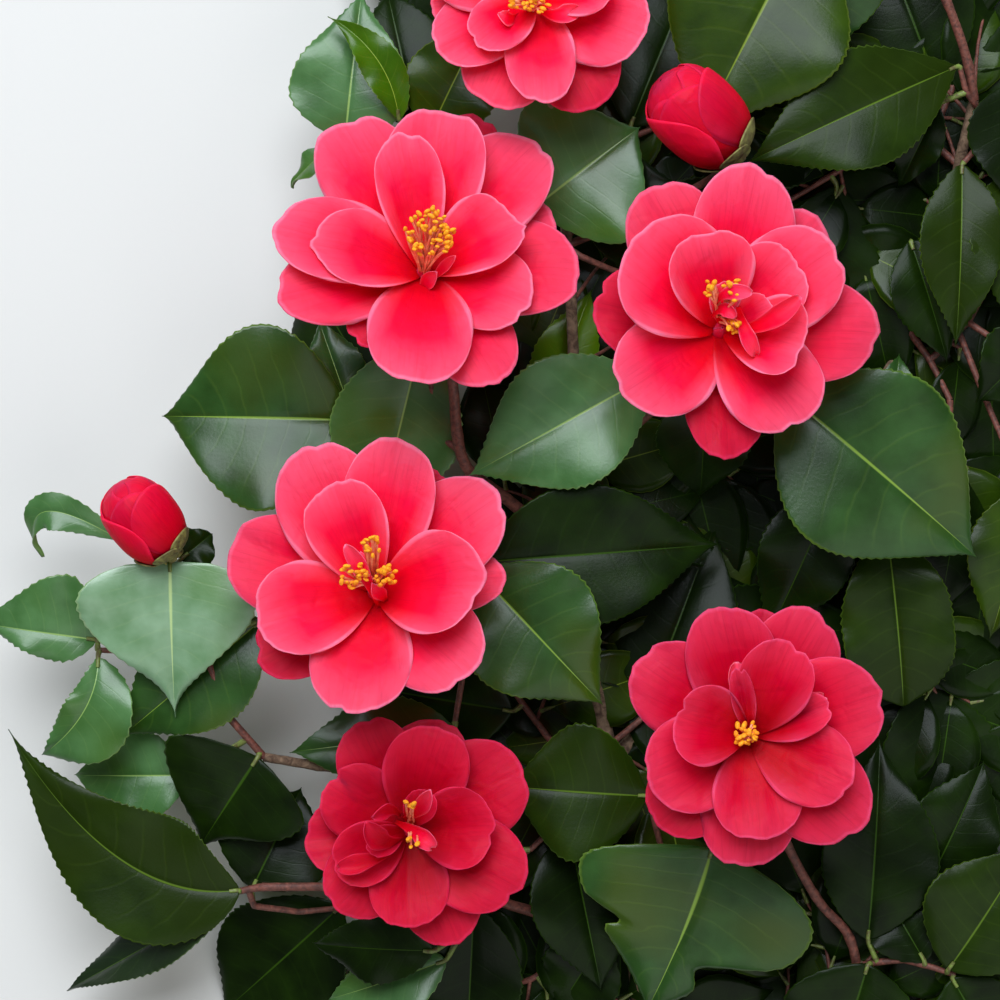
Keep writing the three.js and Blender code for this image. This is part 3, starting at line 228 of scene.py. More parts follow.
# petals from back to front: turn in degrees, reach and width in pixels, rise in mm, what else is its own
blooms = {
    "bloom_upper_left": {
        "on": "bough_upper_left",
        "heart": [424, 277, 94],
        "leanRight": 2,
        "leanUp": 26,
        "petals": [
            [226, 92, 72, 7], [72, 171, 84, 8], [28, 145, 88, 9], [306, 127, 92, 9.5],
            [4, 157, 112, 11], [187, 147, 92, 13], [118, 179, 112, 15], [51, 177, 110, 16],
            [346, 108, 92, 18, {"tilt": 1.6}], [266, 104.5, 106, 19], [161, 157, 100, 20.5],
            [84, 169, 104, 22.5, {"fold": 0.28, "crease": -1.6}],
            [163, 111, 86, 25, {"fold": 0.26, "point": 0.8}],
            [30, 108, 84, 27, {"fold": 0.3, "point": 0.8, "lean": -0.5}],
            [100, 142, 70, 30, {"fold": 0.42, "point": 0.6}],
        ],
    },
    "bloom_upper_right": {
        "on": "bough_upper_right",
        "heart": [718, 331, 90],
        "leanRight": 9,
        "leanUp": 7,
        "petals": [
            [167, 126, 98, 7], [275, 126, 84, 8], [47, 152, 94, 9], [0, 160, 108, 11],
            [115, 160, 104, 13], [214, 112, 104, 15], [314, 126, 106, 16], [77, 170, 108, 17.5],
            [36, 146, 104, 20], [133, 124, 128, 22.5, {"fold": 0.1, "crease": -1.4}],
            [44, 108, 84, 26, {"fold": 0.12}], [102, 99, 94, 29, {"fold": 0.3}],
            [350, 88, 86, 33, {"fold": 0.4}], [25, 60, 40, 44, {"fold": 0.2}],
            [82, 50, 34, 48, {"fold": 0.1}],
        ],
    },
    "bloom_middle_left": {
        "on": "bough_middle_left",
        "heart": [377, 595, 86],
        "leanRight": -8,
        "leanUp": 15,
        "petals": [
            [209, 135, 88, 7], [66, 139, 80, 8], [9, 129, 66, 9], [163, 157, 104, 12],
            [40, 158, 104, 14], [319, 123, 104, 15], [117, 165, 110, 17], [258, 119, 104, 18.5],
            [81, 158, 96, 21, {"fold": 0.14, "crease": -1.5}], [194, 122, 98, 23.5, {"fold": 0.2}],
            [6, 103, 106, 26, {"fold": 0.3, "point": 0.5, "lean": 0.5}],
            [112, 120, 84, 30, {"fold": 0.34}], [118, 50, 22, 46, {"fold": 0.3}],
        ],
    },
    "bloom_lower_left": {
        "on": "bough_lower_left",
        "heart": [408, 828, 76],
        "leanRight": 2,
        "leanUp": 2,
        # the whole bloom lies low and in shade, so it takes the darkest tint: painted shade
        "tint": "deep",
        "petals": [
            [294, 124, 84, 7], [74, 112, 84, 8], [188, 103, 80, 9.5], [29, 130, 104, 11],
            [229, 108, 84, 13], [115, 117, 84, 15], [332, 128, 98, 16], [152, 93, 80, 18],
            [271, 99.5, 82, 20], [73, 106, 88, 22.5], [210, 84, 64, 25, {"fold": 0.34}],
            [2, 84, 84, 28, {"fold": 0.3, "point": 0.5}], [62, 42, 34, 46, {"fold": 0.4}],
            [205, 46, 32, 52, {"fold": 0.4}],
        ],
    },
    "bloom_lower_right": {
        "on": "shoot_low_right",
        "heart": [749, 735, 88],
        "leanRight": 0,
        "leanUp": 1,
        # this bloom lies lower, in shade, so it takes a darker tint: painted shade
        "tint": "cherry",
        "petals": [
            [82, 127, 60, 6.5], [225, 128, 92, 7.5], [269, 133, 98, 9], [60, 140, 96, 10],
            [320, 145, 104, 11.5], [147, 134, 98, 13, {"tilt": 0.9}], [18, 138, 108, 15],
            [103, 131, 94, 17], [206, 110, 100, 19], [277, 106, 92, 21.5, {"crease": 0.9}],
            [335, 113, 86, 24, {"crease": -0.8, "tilt": -0.6}], [22, 87, 46, 27, {"fold": 0.2}],
            [66, 101, 78, 30, {"fold": 0.18}], [166, 76, 84, 35, {"fold": 0.26}],
            [100, 68, 26, 39, {"point": 0.0}],
        ],
    },
    "bloom_top": {
        "on": "bough_top",
        "heart": [535, 2, 88],
        "leanRight": 0,
        "leanUp": 9,
        "petals": [
            [302, 121, 94, 7], [120, 140, 96, 8], [246, 112, 94, 9], [28, 128, 96, 10.5],
            [180, 105, 88, 12], [92, 146, 100, 13.5], [343, 115, 98, 15], [206, 108, 80, 16.5],
            [60, 142, 98, 18], [275, 100, 72, 20], [150, 122, 98, 22], [215, 72, 60, 26, {"fold": 0.2}],
            [20, 84, 78, 29, {"fold": 0.15}], [105, 96, 78, 33, {"fold": 0.25}],
        ],
    },
}

buds = {
    "bud_left": {"from": [172, 555, 68], "to": [115, 485, 80], "radius": 12.8},
    "bud_top": {"from": [738, 154, 72], "to": [660, 80, 88], "radius": 15.6},
}

# each leaf's tint stands as much for how it lies in the light as for its green: dark is painted shade, sky
# and pale a painted sky reflection
masses = {
    "leaves_left": {
        "stem": [[264, 757, 46], [228, 716, 52], [204, 650, 56], [174, 568, 61]],
        "twigs": [[[206, 660, 55.2], [150, 652, 50], [98, 650, 50]]],
        "leaves": [
            {
                "tint": "pale", "at": [170, 561, 66], "to": [175, 719, 56], "wide": 172, "peak": 0.25,
                "left": 1.0, "right": 1.08, "arch": 0.05, "drip": 1.9, "heel": 0.36,
            },
            {
                "tint": "sky", "at": [97, 640, 51], "to": [-24, 622, 48], "wide": 106, "left": 0.5,
                "right": 1.15, "arch": 0.1, "peak": 0.28,
            },
            {"tint": "sky", "at": [120, 540, 50], "via": [10, 474, 58], "to": [38, 558, 40], "wide": 38},
            {"tint": "dark", "at": [180, 560, 56], "to": [214, 532, 50], "wide": 46},
            {
                "tint": "sky", "at": [98, 657, 54], "via": [98, 716, 62], "to": [40, 757, 44],
                "wide": 82, "left": 1.25, "right": 0.5, "peak": 0.55, "drip": 1.0,
            },
            {"tint": "mid", "at": [262, 620, 54], "to": [120, 738, 44], "wide": 116},
            {
                "tint": "dark", "at": [258, 757, 49], "to": [195, 854, 36], "wide": 158, "peak": 0.26,
                "left": 0.95, "right": 1.08, "drip": 2.0,
            },
            {"tint": "sky", "at": [190, 775, 38], "to": [72, 775, 28], "wide": 96},
        ],
    },
    "leaves_low_left": {
        "stem": [[262, 887, 44], [250, 889, 46], [236, 892, 48]],
        "twigs": [[[248, 889, 46.3], [254, 906, 38], [300, 912, 31], [338, 908, 29]]],
        "leaves": [
            {
                "tint": "moss", "at": [240, 890, 50], "via": [116, 908, 52], "to": [8, 730, 58],
                "wide": 130, "peak": 0.36, "fold": 0.18, "drip": 1.35,
            },
            {"tint": "shine", "at": [238, 893, 46], "to": [64, 991, 26], "wide": 58, "roll": 24},
            {"tint": "dark", "at": [252, 889, 36], "to": [302, 786, 28], "wide": 120},
            {
                "tint": "dark", "at": [341, 906, 29], "to": [221, 1014, 1.2], "wide": 138, "peak": 0.5,
                "arch": 0.03,
            },
        ],
    },
    "leaves_low": {
        "stem": [[480, 892, 37], [472, 910, 40], [462, 932, 44]],
        "twigs": [],
        "leaves": [
            {"tint": "dark", "at": [434, 951, 50], "to": [310, 944, 38], "wide": 74, "roll": -18},
            {"tint": "sky", "at": [446, 960, 38], "to": [326, 1000, 22], "wide": 78, "roll": 14},
            {"tint": "dark", "at": [474, 905, 40], "to": [466, 1066, 14], "wide": 104},
        ],
    },
    "leaves_middle": {
        "stem": [[452, 629, 51], [470, 600, 54], [482, 565, 55]],
        "twigs": [[[465, 608, 53], [462, 680, 46], [455, 722, 44]]],
        "leaves": [
            {"tint": "dark", "at": [480, 562, 58], "to": [722, 544, 50], "wide": 142, "fold": 0.16},
            {"tint": "mid", "at": [478, 572, 60], "to": [604, 706, 56], "wide": 142},
            {"tint": "mid", "at": [455, 730, 45], "to": [288, 752, 40], "wide": 92, "roll": 16},
        ],
    },
    "leaves_upper_left": {
        "stem": [[462, 452, 60], [440, 436, 56], [400, 430, 52], [352, 422, 52]],
        "twigs": [[[438, 435, 55.8], [432, 390, 60], [424, 342, 64]]],
        "leaves": [
            {
                "tint": "sky", "at": [422, 338, 60], "to": [378, 520, 44], "wide": 134, "peak": 0.5,
                "right": 1.04, "left": 0.94,
            },
            {
                "tint": "mid", "at": [350, 420, 53], "to": [160, 416, 46], "wide": 186, "peak": 0.45,
                "fold": 0.2,
            },
            {"tint": "mid", "at": [352, 415, 52], "to": [318, 318, 46], "wide": 60},
            {"tint": "dark", "at": [398, 428, 46], "to": [302, 268, 1.2], "wide": 120},
        ],
    },
    "leaves_top_left": {
        "stem": [[450, 345, 78], [440, 260, 66], [424, 180, 57], [404, 122, 53]],
        "twigs": [[[416, 156, 55], [372, 140, 50], [340, 140, 48]]],
        "leaves": [
            {
                "tint": "young", "at": [399, 120, 56], "via": [392, 52, 66], "to": [327, 15, 60],
                "wide": 42, "fold": 0.34, "drip": 1.3,
            },
            {"tint": "sky", "at": [345, 141, 50], "to": [362, -10, 48], "wide": 122, "peak": 0.3},
            {"tint": "sky", "at": [336, 139, 48], "to": [288, 186, 42], "wide": 34, "roll": 50},
            {"tint": "dark", "at": [418, 128, 46], "to": [386, -14, 36], "wide": 108},
            {"tint": "olive", "at": [428, 136, 54], "to": [486, 16, 58], "wide": 96},
        ],
    },
    "leaves_top": {
        "stem": [[570, 270, 49.3], [556, 240, 54], [540, 214, 57]],
        "twigs": [[[556, 240, 54], [580, 256, 56], [612, 270, 50], [646, 278, 45]]],
        "leaves": [
            {"tint": "sky", "at": [534, 208, 58], "to": [641, 126, 60], "wide": 172, "peak": 0.46},
            {"tint": "dark", "at": [644, 277, 45], "to": [640, 152, 48], "wide": 112},
        ],
    },
    "leaves_above": {
        "stem": [[915, -55, 56], [870, -70, 57], [812, -72, 58]],
        "twigs": [],
        "leaves": [
            {"tint": "olive", "at": [803, -70, 60], "to": [698, 134, 66], "wide": 190, "peak": 0.44},
            {"tint": "mid", "at": [830, -74, 57], "to": [820, 60, 40], "wide": 120},
        ],
    },
    "leaves_top_right": {
        "stem": [[967, 128, 38.6], [990, 112, 41], [1012, 84, 43]],
        "twigs": [
            [[984, 116, 40.4], [966, 92, 49], [960, 68, 52]],
            [[990, 112, 41], [975, 150, 41], [964, 162, 42]],
        ],
        "leaves": [
            {
                "tint": "moss", "at": [958, 66, 53], "to": [746, 163, 60], "wide": 120, "peak": 0.46,
                "fold": 0.1, "heel": 1.0,
            },
            {"tint": "dark", "at": [1008, 84, 44], "to": [1010, 206, 44], "wide": 86, "peak": 0.4},
            {"tint": "dark", "at": [938, 104, 45], "to": [897, 190, 30], "wide": 46},
            {"tint": "moss", "at": [1012, 170, 40], "to": [1004, 318, 42], "wide": 84},
            {"tint": "moss", "at": [962, 164, 42], "to": [956, 348, 38], "wide": 84},
        ],
    },
    "leaves_right": {
        "stem": [[690, 374, 66.8], [730, 388, 62], [778, 392, 62]],
        "twigs": [],
        "leaves": [
            {
                "tint": "mid", "at": [784, 392, 64], "to": [979, 559, 56], "wide": 196, "peak": 0.42,
                "fold": 0.1,
            },
            {"tint": "dark", "at": [706, 382, 64], "to": [700, 500, 38], "wide": 96},
        ],
    },
    "leaves_centre": {
        "stem": [[618, 440, 50], [634, 410, 56], [646, 382, 60]],
        "twigs": [],
        "leaves": [
            {
                "tint": "sky", "at": [648, 377, 63], "to": [468, 476, 60], "wide": 134, "peak": 0.46,
                "fold": 0.14,
            },
        ],
    },
    "leaves_right_middle": {
        "stem": [[866, 412, 14.8], [872, 450, 30], [884, 500, 38]],
        "twigs": [[[872, 450, 30], [850, 470, 36], [838, 490, 38]]],
        "leaves": [
            {
                "tint": "moss", "at": [887, 530, 42], "to": [904, 708, 34], "wide": 112, "peak": 0.5,
                "shoulder": 1.8, "drip": 0.8,
            },
            {"tint": "dark", "at": [836, 486, 40], "to": [766, 640, 32], "wide": 96},
            {"tint": "mid", "at": [884, 452, 32], "to": [900, 352, 26], "wide": 60},
        ],
    },
    "leaves_right_edge": {
        "stem": [[925, 275, 21], [950, 310, 32], [1010, 350, 44]],
        "twigs": [
            [[950, 310, 32], [990, 410, 37], [1020, 480, 40]],
            [[940, 296, 28], [924, 270, 30], [912, 244, 32]],
        ],
        "leaves": [
            {"tint": "dark", "at": [1048, 330, 46], "to": [976, 404, 44], "wide": 84, "roll": -12},
            {"tint": "olive", "at": [1030, 486, 41], "to": [990, 640, 36], "wide": 96},
            {"tint": "dark", "at": [910, 240, 33], "to": [948, 364, 30], "wide": 74},
            {"tint": "dark", "at": [1024, 476, 41], "to": [1084, 610, 24], "wide": 110},
        ],
    },
    "leaves_low_right": {
        "stem": [[864, 965, 31], [878, 962, 33], [905, 960, 35]],
        "twigs": [[[905, 960, 35], [935, 968, 36], [955, 975, 37]]],
        "leaves": [
            {
                "tint": "dark", "at": [868, 940, 36], "to": [880, 738, 32], "wide": 118, "peak": 0.4,
                "left": 0.9, "right": 1.1,
            },
            {"tint": "moss", "at": [948, 970, 40], "to": [1030, 842, 44], "wide": 128},
            {"tint": "dark", "at": [868, 964, 36], "to": [832, 1070, 18], "wide": 142},
            {"tint": "dark", "at": [925, 962, 37], "to": [872, 872, 26], "wide": 76},
            {"tint": "dark", "at": [952, 978, 37], "to": [1010, 1082, 20], "wide": 112},
            {"tint": "dark", "at": [930, 880, 30], "to": [985, 760, 30], "wide": 92},
        ],
    },
    "underleaves_top": {
        "stem": [[563, 195, 53], [575, 160, 44], [582, 120, 40]],
        "sprays": [
            {"line": [[582, 120, 40], [530, 50, 36], [480, 10, 32]], "count": 3},
            {"line": [[582, 120, 40], [600, 50, 36], [606, 24, 34]], "count": 2},
            {"line": [[575, 160, 44], [650, 130, 34], [700, 90, 28]], "count": 3},
        ],
    },
    "underleaves_top_right": {
        "stem": [[958, 165, 33], [930, 140, 30], [900, 120, 28]],
        "sprays": [
            {"line": [[900, 120, 28], [860, 60, 28], [836, 20, 26]], "count": 3},
            {"line": [[930, 140, 30], [952, 90, 28], [960, 50, 26]], "count": 3},
            {"line": [[900, 120, 28], [840, 170, 26], [790, 200, 24]], "count": 2},
        ],
    },
    "underleaves_centre": {
        "stem": [[566, 565, 34.6], [600, 520, 26], [640, 470, 24]],
        "leaves": [{"tint": "young", "at": [544, 416, 28], "to": [592, 288, 28], "wide": 66}],
        "sprays": [
            {"line": [[640, 470, 24], [640, 380, 24], [630, 330, 24]], "count": 3},
            {"line": [[640, 470, 24], [720, 420, 24], [760, 380, 20]], "count": 2},
            {"line": [[600, 520, 26], [560, 450, 28], [530, 400, 26]], "count": 1},
            {"line": [[600, 520, 26], [680, 560, 22], [700, 600, 16]], "count": 3},
        ],
    },
    "underleaves_right": {
        "stem": [[905, 325, 18.6], [930, 360, 22], [950, 400, 24]],
        "sprays": [
            {"line": [[950, 400, 24], [950, 480, 24], [930, 540, 20]], "count": 3},
            {"line": [[930, 360, 22], [970, 320, 24], [985, 290, 22]], "count": 2},
        ],
    },
    "underleaves_middle": {
        "stem": [[780, 555, 14.1], [800, 600, 20], [820, 640, 22]],
        "sprays": [
            {"line": [[820, 640, 22], [850, 730, 22], [870, 780, 20]], "count": 3},
            {"line": [[820, 640, 22], [900, 660, 24], [940, 680, 24]], "count": 3},
            {"line": [[800, 600, 20], [740, 680, 22], [720, 730, 22]], "count": 2},
        ],
    },
    "underleaves_low_right": {
        "stem": [[770, 1018, 17.5], [790, 1040, 20], [815, 1050, 20]],
        "sprays": [
            {"line": [[815, 1050, 20], [880, 1030, 20], [920, 1000, 20]], "count": 3},
        ],
    },
    "underleaves_low": {
        "stem": [[634, 925, 13.7], [600, 945, 20], [570, 955, 22]],
        "sprays": [
            {"line": [[570, 955, 22], [530, 980, 20], [490, 990, 14]], "count": 3},
            {"line": [[570, 955, 22], [580, 990, 16], [575, 1015, 10]], "count": 1},
        ],
    },
    "underleaves_inner": {
        "stem": [[612, 790, 20.6], [580, 770, 26], [550, 740, 28]],
        "sprays": [
            {"line": [[550, 740, 28], [520, 700, 30], [500, 670, 30]], "count": 3},
            {"line": [[580, 770, 26], [566, 815, 33], [530, 850, 34]], "count": 2},
            {"line": [[580, 770, 26], [640, 720, 30], [670, 690, 30]], "count": 2},
        ],
    },
    "leaves_low_centre": {
        "stem": [[634, 920, 14], [668, 890, 34], [706, 862, 46]],
        "twigs": [
            [[660, 896, 29.5], [662, 850, 36], [650, 806, 42]],
            [[652, 904, 25], [626, 925, 29], [604, 938, 30]],
        ],
        "leaves": [
            {
                "tint": "mid", "at": [712, 848, 54], "via": [694, 920, 56], "to": [644, 1016, 42],
                "wide": 244, "peak": 0.34, "fold": 0.06,
                "bites": [[0.6, -1, 0.045, 0.32], [0.7, 1, 0.1, 0.6]],
            },
            {"tint": "moss", "at": [648, 796, 44], "to": [505, 786, 44], "wide": 138, "peak": 0.5},
            {"tint": "dark", "at": [602, 940, 30], "to": [556, 1012, 20], "wide": 84},
        ],
    },
}


# Leaf blade: leathery cuticle with a wax film, so broad soft highlights over a dark green
leafSkin = {
    "veinsPerSide": 9,  # about 9 mm apart on a blade 80 mm long
    "veinSweep": 1.35,  # how far a side vein runs forward before the rim, in veins
    "sweepPower": 1.35,  # above 1 it bends forward late
    "midribWidth": 0.0135,
    "midribShare": 0.8,  # how much of the vein colour shows
    "sideVeinShare": 0.05,
    "rimWidth": 0.03,
    "rimShare": 0.42,
    "mottleSize": 14,  # mm
    "flushSize": 42,  # mm, the warmer parts of a blade
    "cuticleSize": 1.1,  # mm between the pits of the cuticle, drawn coarser than the real ones
    "roughness": 0.3,
}
# gloss is how much sky the wax gives back: full on the lit blades, little deep in the plant
# the tints are lit and shaded steps of one green as much as leaf colours: dark is painted shade for the
# blades deep in the plant, moss and mid are lighter steps, sky and pale carry a painted sky reflection in
# their base colour; olive and young are the leaves' own hues, shine is a dark blade with strong gloss
leafTintsWithPaintedLight = {
    "dark": {"blade": "#162804", "shade": "#0A1602", "flush": "#0A1403", "vein": "#304C0E", "gloss": 0.1},
    "moss": {"blade": "#223407", "shade": "#152403", "flush": "#1C2A02", "vein": "#56701F", "gloss": 0.11},
    "mid": {"blade": "#2C4E1E", "shade": "#1B370B", "flush": "#344608", "vein": "#7E9C38", "gloss": 0.3},
    "sky": {"blade": "#4C7442", "shade": "#335A28", "flush": "#3C5C16", "vein": "#90AE5C", "gloss": 0.42},
    "pale": {"blade": "#7E9E7C", "shade": "#567C50", "flush": "#587C44", "vein": "#AEC480", "gloss": 0.6},
    "olive": {"blade": "#2C4204", "shade": "#1B2E02", "flush": "#283602", "vein": "#748828", "gloss": 0.18},
    "young": {"blade": "#3E6205", "shade": "#2A4A03", "flush": "#587C06", "vein": "#9CB040", "gloss": 0.25},
    "shine": {"blade": "#182F0C", "shade": "#0B1D05", "flush": "#142404", "vein": "#587A26", "gloss": 0.6},
}


def makeLeafSkin(name, tint, under=False):
    material, tree, shader = startMaterial(
        name,
        Roughness=0.55 if under else leafSkin["roughness"],
        IOR=1.48,
        Specular_IOR_Level=tint["gloss"],
        Coat_Weight=0.3 * tint["gloss"],
        Coat_Roughness=0.22,
    )
    uv = addNode(tree, "ShaderNodeUVMap", uv_map="blade")
    parts = addNode(tree, "ShaderNodeSeparateXYZ", {0: uv.outputs[0]})
    offset = addNode(tree, "ShaderNodeMath", {0: parts.outputs[0], 1: 0.5}, operation="SUBTRACT")
    side = addNode(tree, "ShaderNodeMath", {0: offset.outputs[0]}, operation="ABSOLUTE")
    across = addNode(tree, "ShaderNodeMath", {0: side.outputs[0], 1: 2.0}, operation="MULTIPLY")
    place = addNode(tree, "ShaderNodeTexCoord")
    mottle = addNode(
        tree,
        "ShaderNodeTexNoise",
        {"Vector": place.outputs["Object"], "Scale": 1000 / leafSkin["mottleSize"], "Detail": 3.0},
    )
    # side veins leave the midrib and sweep forward to the rim
    sweep = addNode(
        tree, "ShaderNodeMath", {0: across.outputs[0], 1: leafSkin["sweepPower"]}, operation="POWER"
    )
    swept = addNode(
        tree, "ShaderNodeMath", {0: sweep.outputs[0], 1: leafSkin["veinSweep"]}, operation="MULTIPLY"
    )
    runs = addNode(
        tree, "ShaderNodeMath", {0: parts.outputs[1], 1: leafSkin["veinsPerSide"]}, operation="MULTIPLY"
    )
    phase = addNode(tree, "ShaderNodeMath", {0: runs.outputs[0], 1: swept.outputs[0]}, operation="SUBTRACT")
    wander = addNode(
        tree, "ShaderNodeMath", {0: mottle.outputs[0], 1: 0.5, 2: phase.outputs[0]}, operation="MULTIPLY_ADD"
    )
    fold = addNode(tree, "ShaderNodeMath", {0: wander.outputs[0], 1: 0.5}, operation="PINGPONG")
    sideVein = addNode(
        tree,
        "ShaderNodeMapRange",
        {0: fold.outputs[0], 1: 0.0, 2: 0.09, 3: 1.0, 4: 0.0},
        interpolation_type="SMOOTHSTEP",
    )
    fade = addNode(tree, "ShaderNodeMapRange", {0: across.outputs[0], 1: 0.55, 2: 0.95, 3: 1.0, 4: 0.0})
    sideFaded = addNode(
        tree, "ShaderNodeMath", {0: sideVein.outputs[0], 1: fade.outputs[0]}, operation="MULTIPLY"
    )
    taper = addNode(tree, "ShaderNodeMapRange", {0: parts.outputs[1], 1: 0.0, 2: 1.0, 3: 0.55, 4: 1.7})
    tapered = addNode(
        tree, "ShaderNodeMath", {0: across.outputs[0], 1: taper.outputs[0]}, operation="MULTIPLY"
    )
    ribWidth = leafSkin["midribWidth"]
    midrib = addNode(
        tree,
        "ShaderNodeMapRange",
        {0: tapered.outputs[0], 1: ribWidth * 0.4, 2: ribWidth * 1.6, 3: 1.0, 4: 0.0},
        interpolation_type="SMOOTHSTEP",
    )
    rimStart = 1 - leafSkin["rimWidth"]
    rim = addNode(tree, "ShaderNodeMapRange", {0: across.outputs[0], 1: rimStart, 2: 1.0, 3: 0.0, 4: 1.0})
    tone = addNode(tree, "ShaderNodeMapRange", {0: mottle.outputs[0], 1: 0.3, 2: 0.7, 3: 0.0, 4: 1.0})
    blade = addNode(
        tree,
        "ShaderNodeMix",
        {0: tone.outputs[0], 6: linear(tint["shade"]), 7: linear(tint["blade"])},
        data_type="RGBA",
    )
    patch = addNode(
        tree,
        "ShaderNodeTexNoise",
        {"Vector": place.outputs["Object"], "Scale": 1000 / leafSkin["flushSize"], "Detail": 1.0},
    )
    patches = addNode(tree, "ShaderNodeMapRange", {0: patch.outputs[0], 1: 0.48, 2: 0.66, 3: 0.0, 4: 0.85})
    flushed = addNode(
        tree,
        "ShaderNodeMix",
        {0: patches.outputs[0], 6: blade.outputs[2], 7: linear(tint["flush"])},
        data_type="RGBA",
    )
    weakVein = addNode(
        tree, "ShaderNodeMath", {0: sideFaded.outputs[0], 1: leafSkin["sideVeinShare"]}, operation="MULTIPLY"
    )
    veined = addNode(
        tree,
        "ShaderNodeMix",
        {0: weakVein.outputs[0], 6: flushed.outputs[2], 7: linear(tint["vein"])},
        data_type="RGBA",
    )
    strongVein = addNode(
        tree, "ShaderNodeMath", {0: midrib.outputs[0], 1: leafSkin["midribShare"]}, operation="MULTIPLY"
    )
    ribbed = addNode(
        tree,
        "ShaderNodeMix",
        {0: strongVein.outputs[0], 6: veined.outputs[2], 7: linear(tint["vein"])},
        data_type="RGBA",
    )
    softRim = addNode(
        tree, "ShaderNodeMath", {0: rim.outputs[0], 1: leafSkin["rimShare"]}, operation="MULTIPLY"
    )
    rimmed = addNode(
        tree,
        "ShaderNodeMix",
        {0: softRim.outputs[0], 6: ribbed.outputs[2], 7: linear(tint["vein"])},
        data_type="RGBA",
    )
    tree.links.new(rimmed.outputs[2], shader.inputs["Base Color"])
    cuticle = addNode(
        tree,
        "ShaderNodeTexNoise",
        {"Vector": place.outputs["Object"], "Scale": 1000 / leafSkin["cuticleSize"], "Detail": 2.0},
    )
    veinDip = addNode(
        tree,
        "ShaderNodeMath",
        {0: sideFaded.outputs[0], 1: -0.5, 2: cuticle.outputs[0]},
        operation="MULTIPLY_ADD",
    )
    bump = addNode(
        tree,
        "ShaderNodeBump",
        {"Strength": 0.35, "Distance": 0.12 * mm, "Height": veinDip.outputs[0]},
    )
    tree.links.new(bump.outputs[0], shader.inputs["Normal"])
    return material


leafNames = list(leafTintsWithPaintedLight)
leafMaterials = [makeLeafSkin("waxyLeaf" + name.title(), leafTintsWithPaintedLight[name]) for name in leafNames]
# the lower face has no wax, so it is paler and dull
underTint = {"blade": "#6E8B4A", "shade": "#587638", "flush": "#7C8C44", "vein": "#A9B874", "gloss": 0.2}
leafMaterials.append(makeLeafSkin("dullLeafUnderside", underTint, under=True))
underIndex = len(leafMaterials) - 1

# Petal: thin living tissue, matt and velvety; light soaks in, so its hollows glow deep red
petalSkin = {
    "streaks": 26,  # veins across one petal, about 1.8 mm apart at its widest
    "streakShare": 0.22,
    "streakDepth": 1.2,  # in steps of the skin cells
    "cloudSize": 13,  # mm
    "cellSize": 0.9,  # mm, the real skin cells are far finer and would not show
    "dentSize": 7,  # mm between the soft dents the petals kept from the bud
    "dentDepth": 14,  # in steps of the skin cells
    "glow": 0.55,
    "glowDepth": 3.0,  # mm that red light travels in the tissue
}
# coral is the petals' own red; the rose and deep tints are darker copies of it, painted shade for the back
# petals and for the bloom that lies low in shade; the cherry tint is painted shade for the lower right bloom
# and for the hollow at each heart; furled is the buds' own red
petalTintsWithPaintedLight = {
    "coral": {"base": "#C8000A", "heart": "#EE0020", "body": "#F60E40", "rim": "#FF84A2", "vein": "#C40028"},
    "rose": {"base": "#BC000A", "heart": "#E2001C", "body": "#EC0638", "rim": "#FA6C8C", "vein": "#B40022"},
    "cherry": {"base": "#960008", "heart": "#C00016", "body": "#D0002C", "rim": "#F05078", "vein": "#90001A"},
    "deep": {"base": "#88000A", "heart": "#AE0014", "body": "#C00024", "rim": "#DE3058", "vein": "#840016"},
    "furled": {"base": "#8C000C", "heart": "#CC0018", "body": "#E40028", "rim": "#F0204C", "vein": "#A0001C"},
}


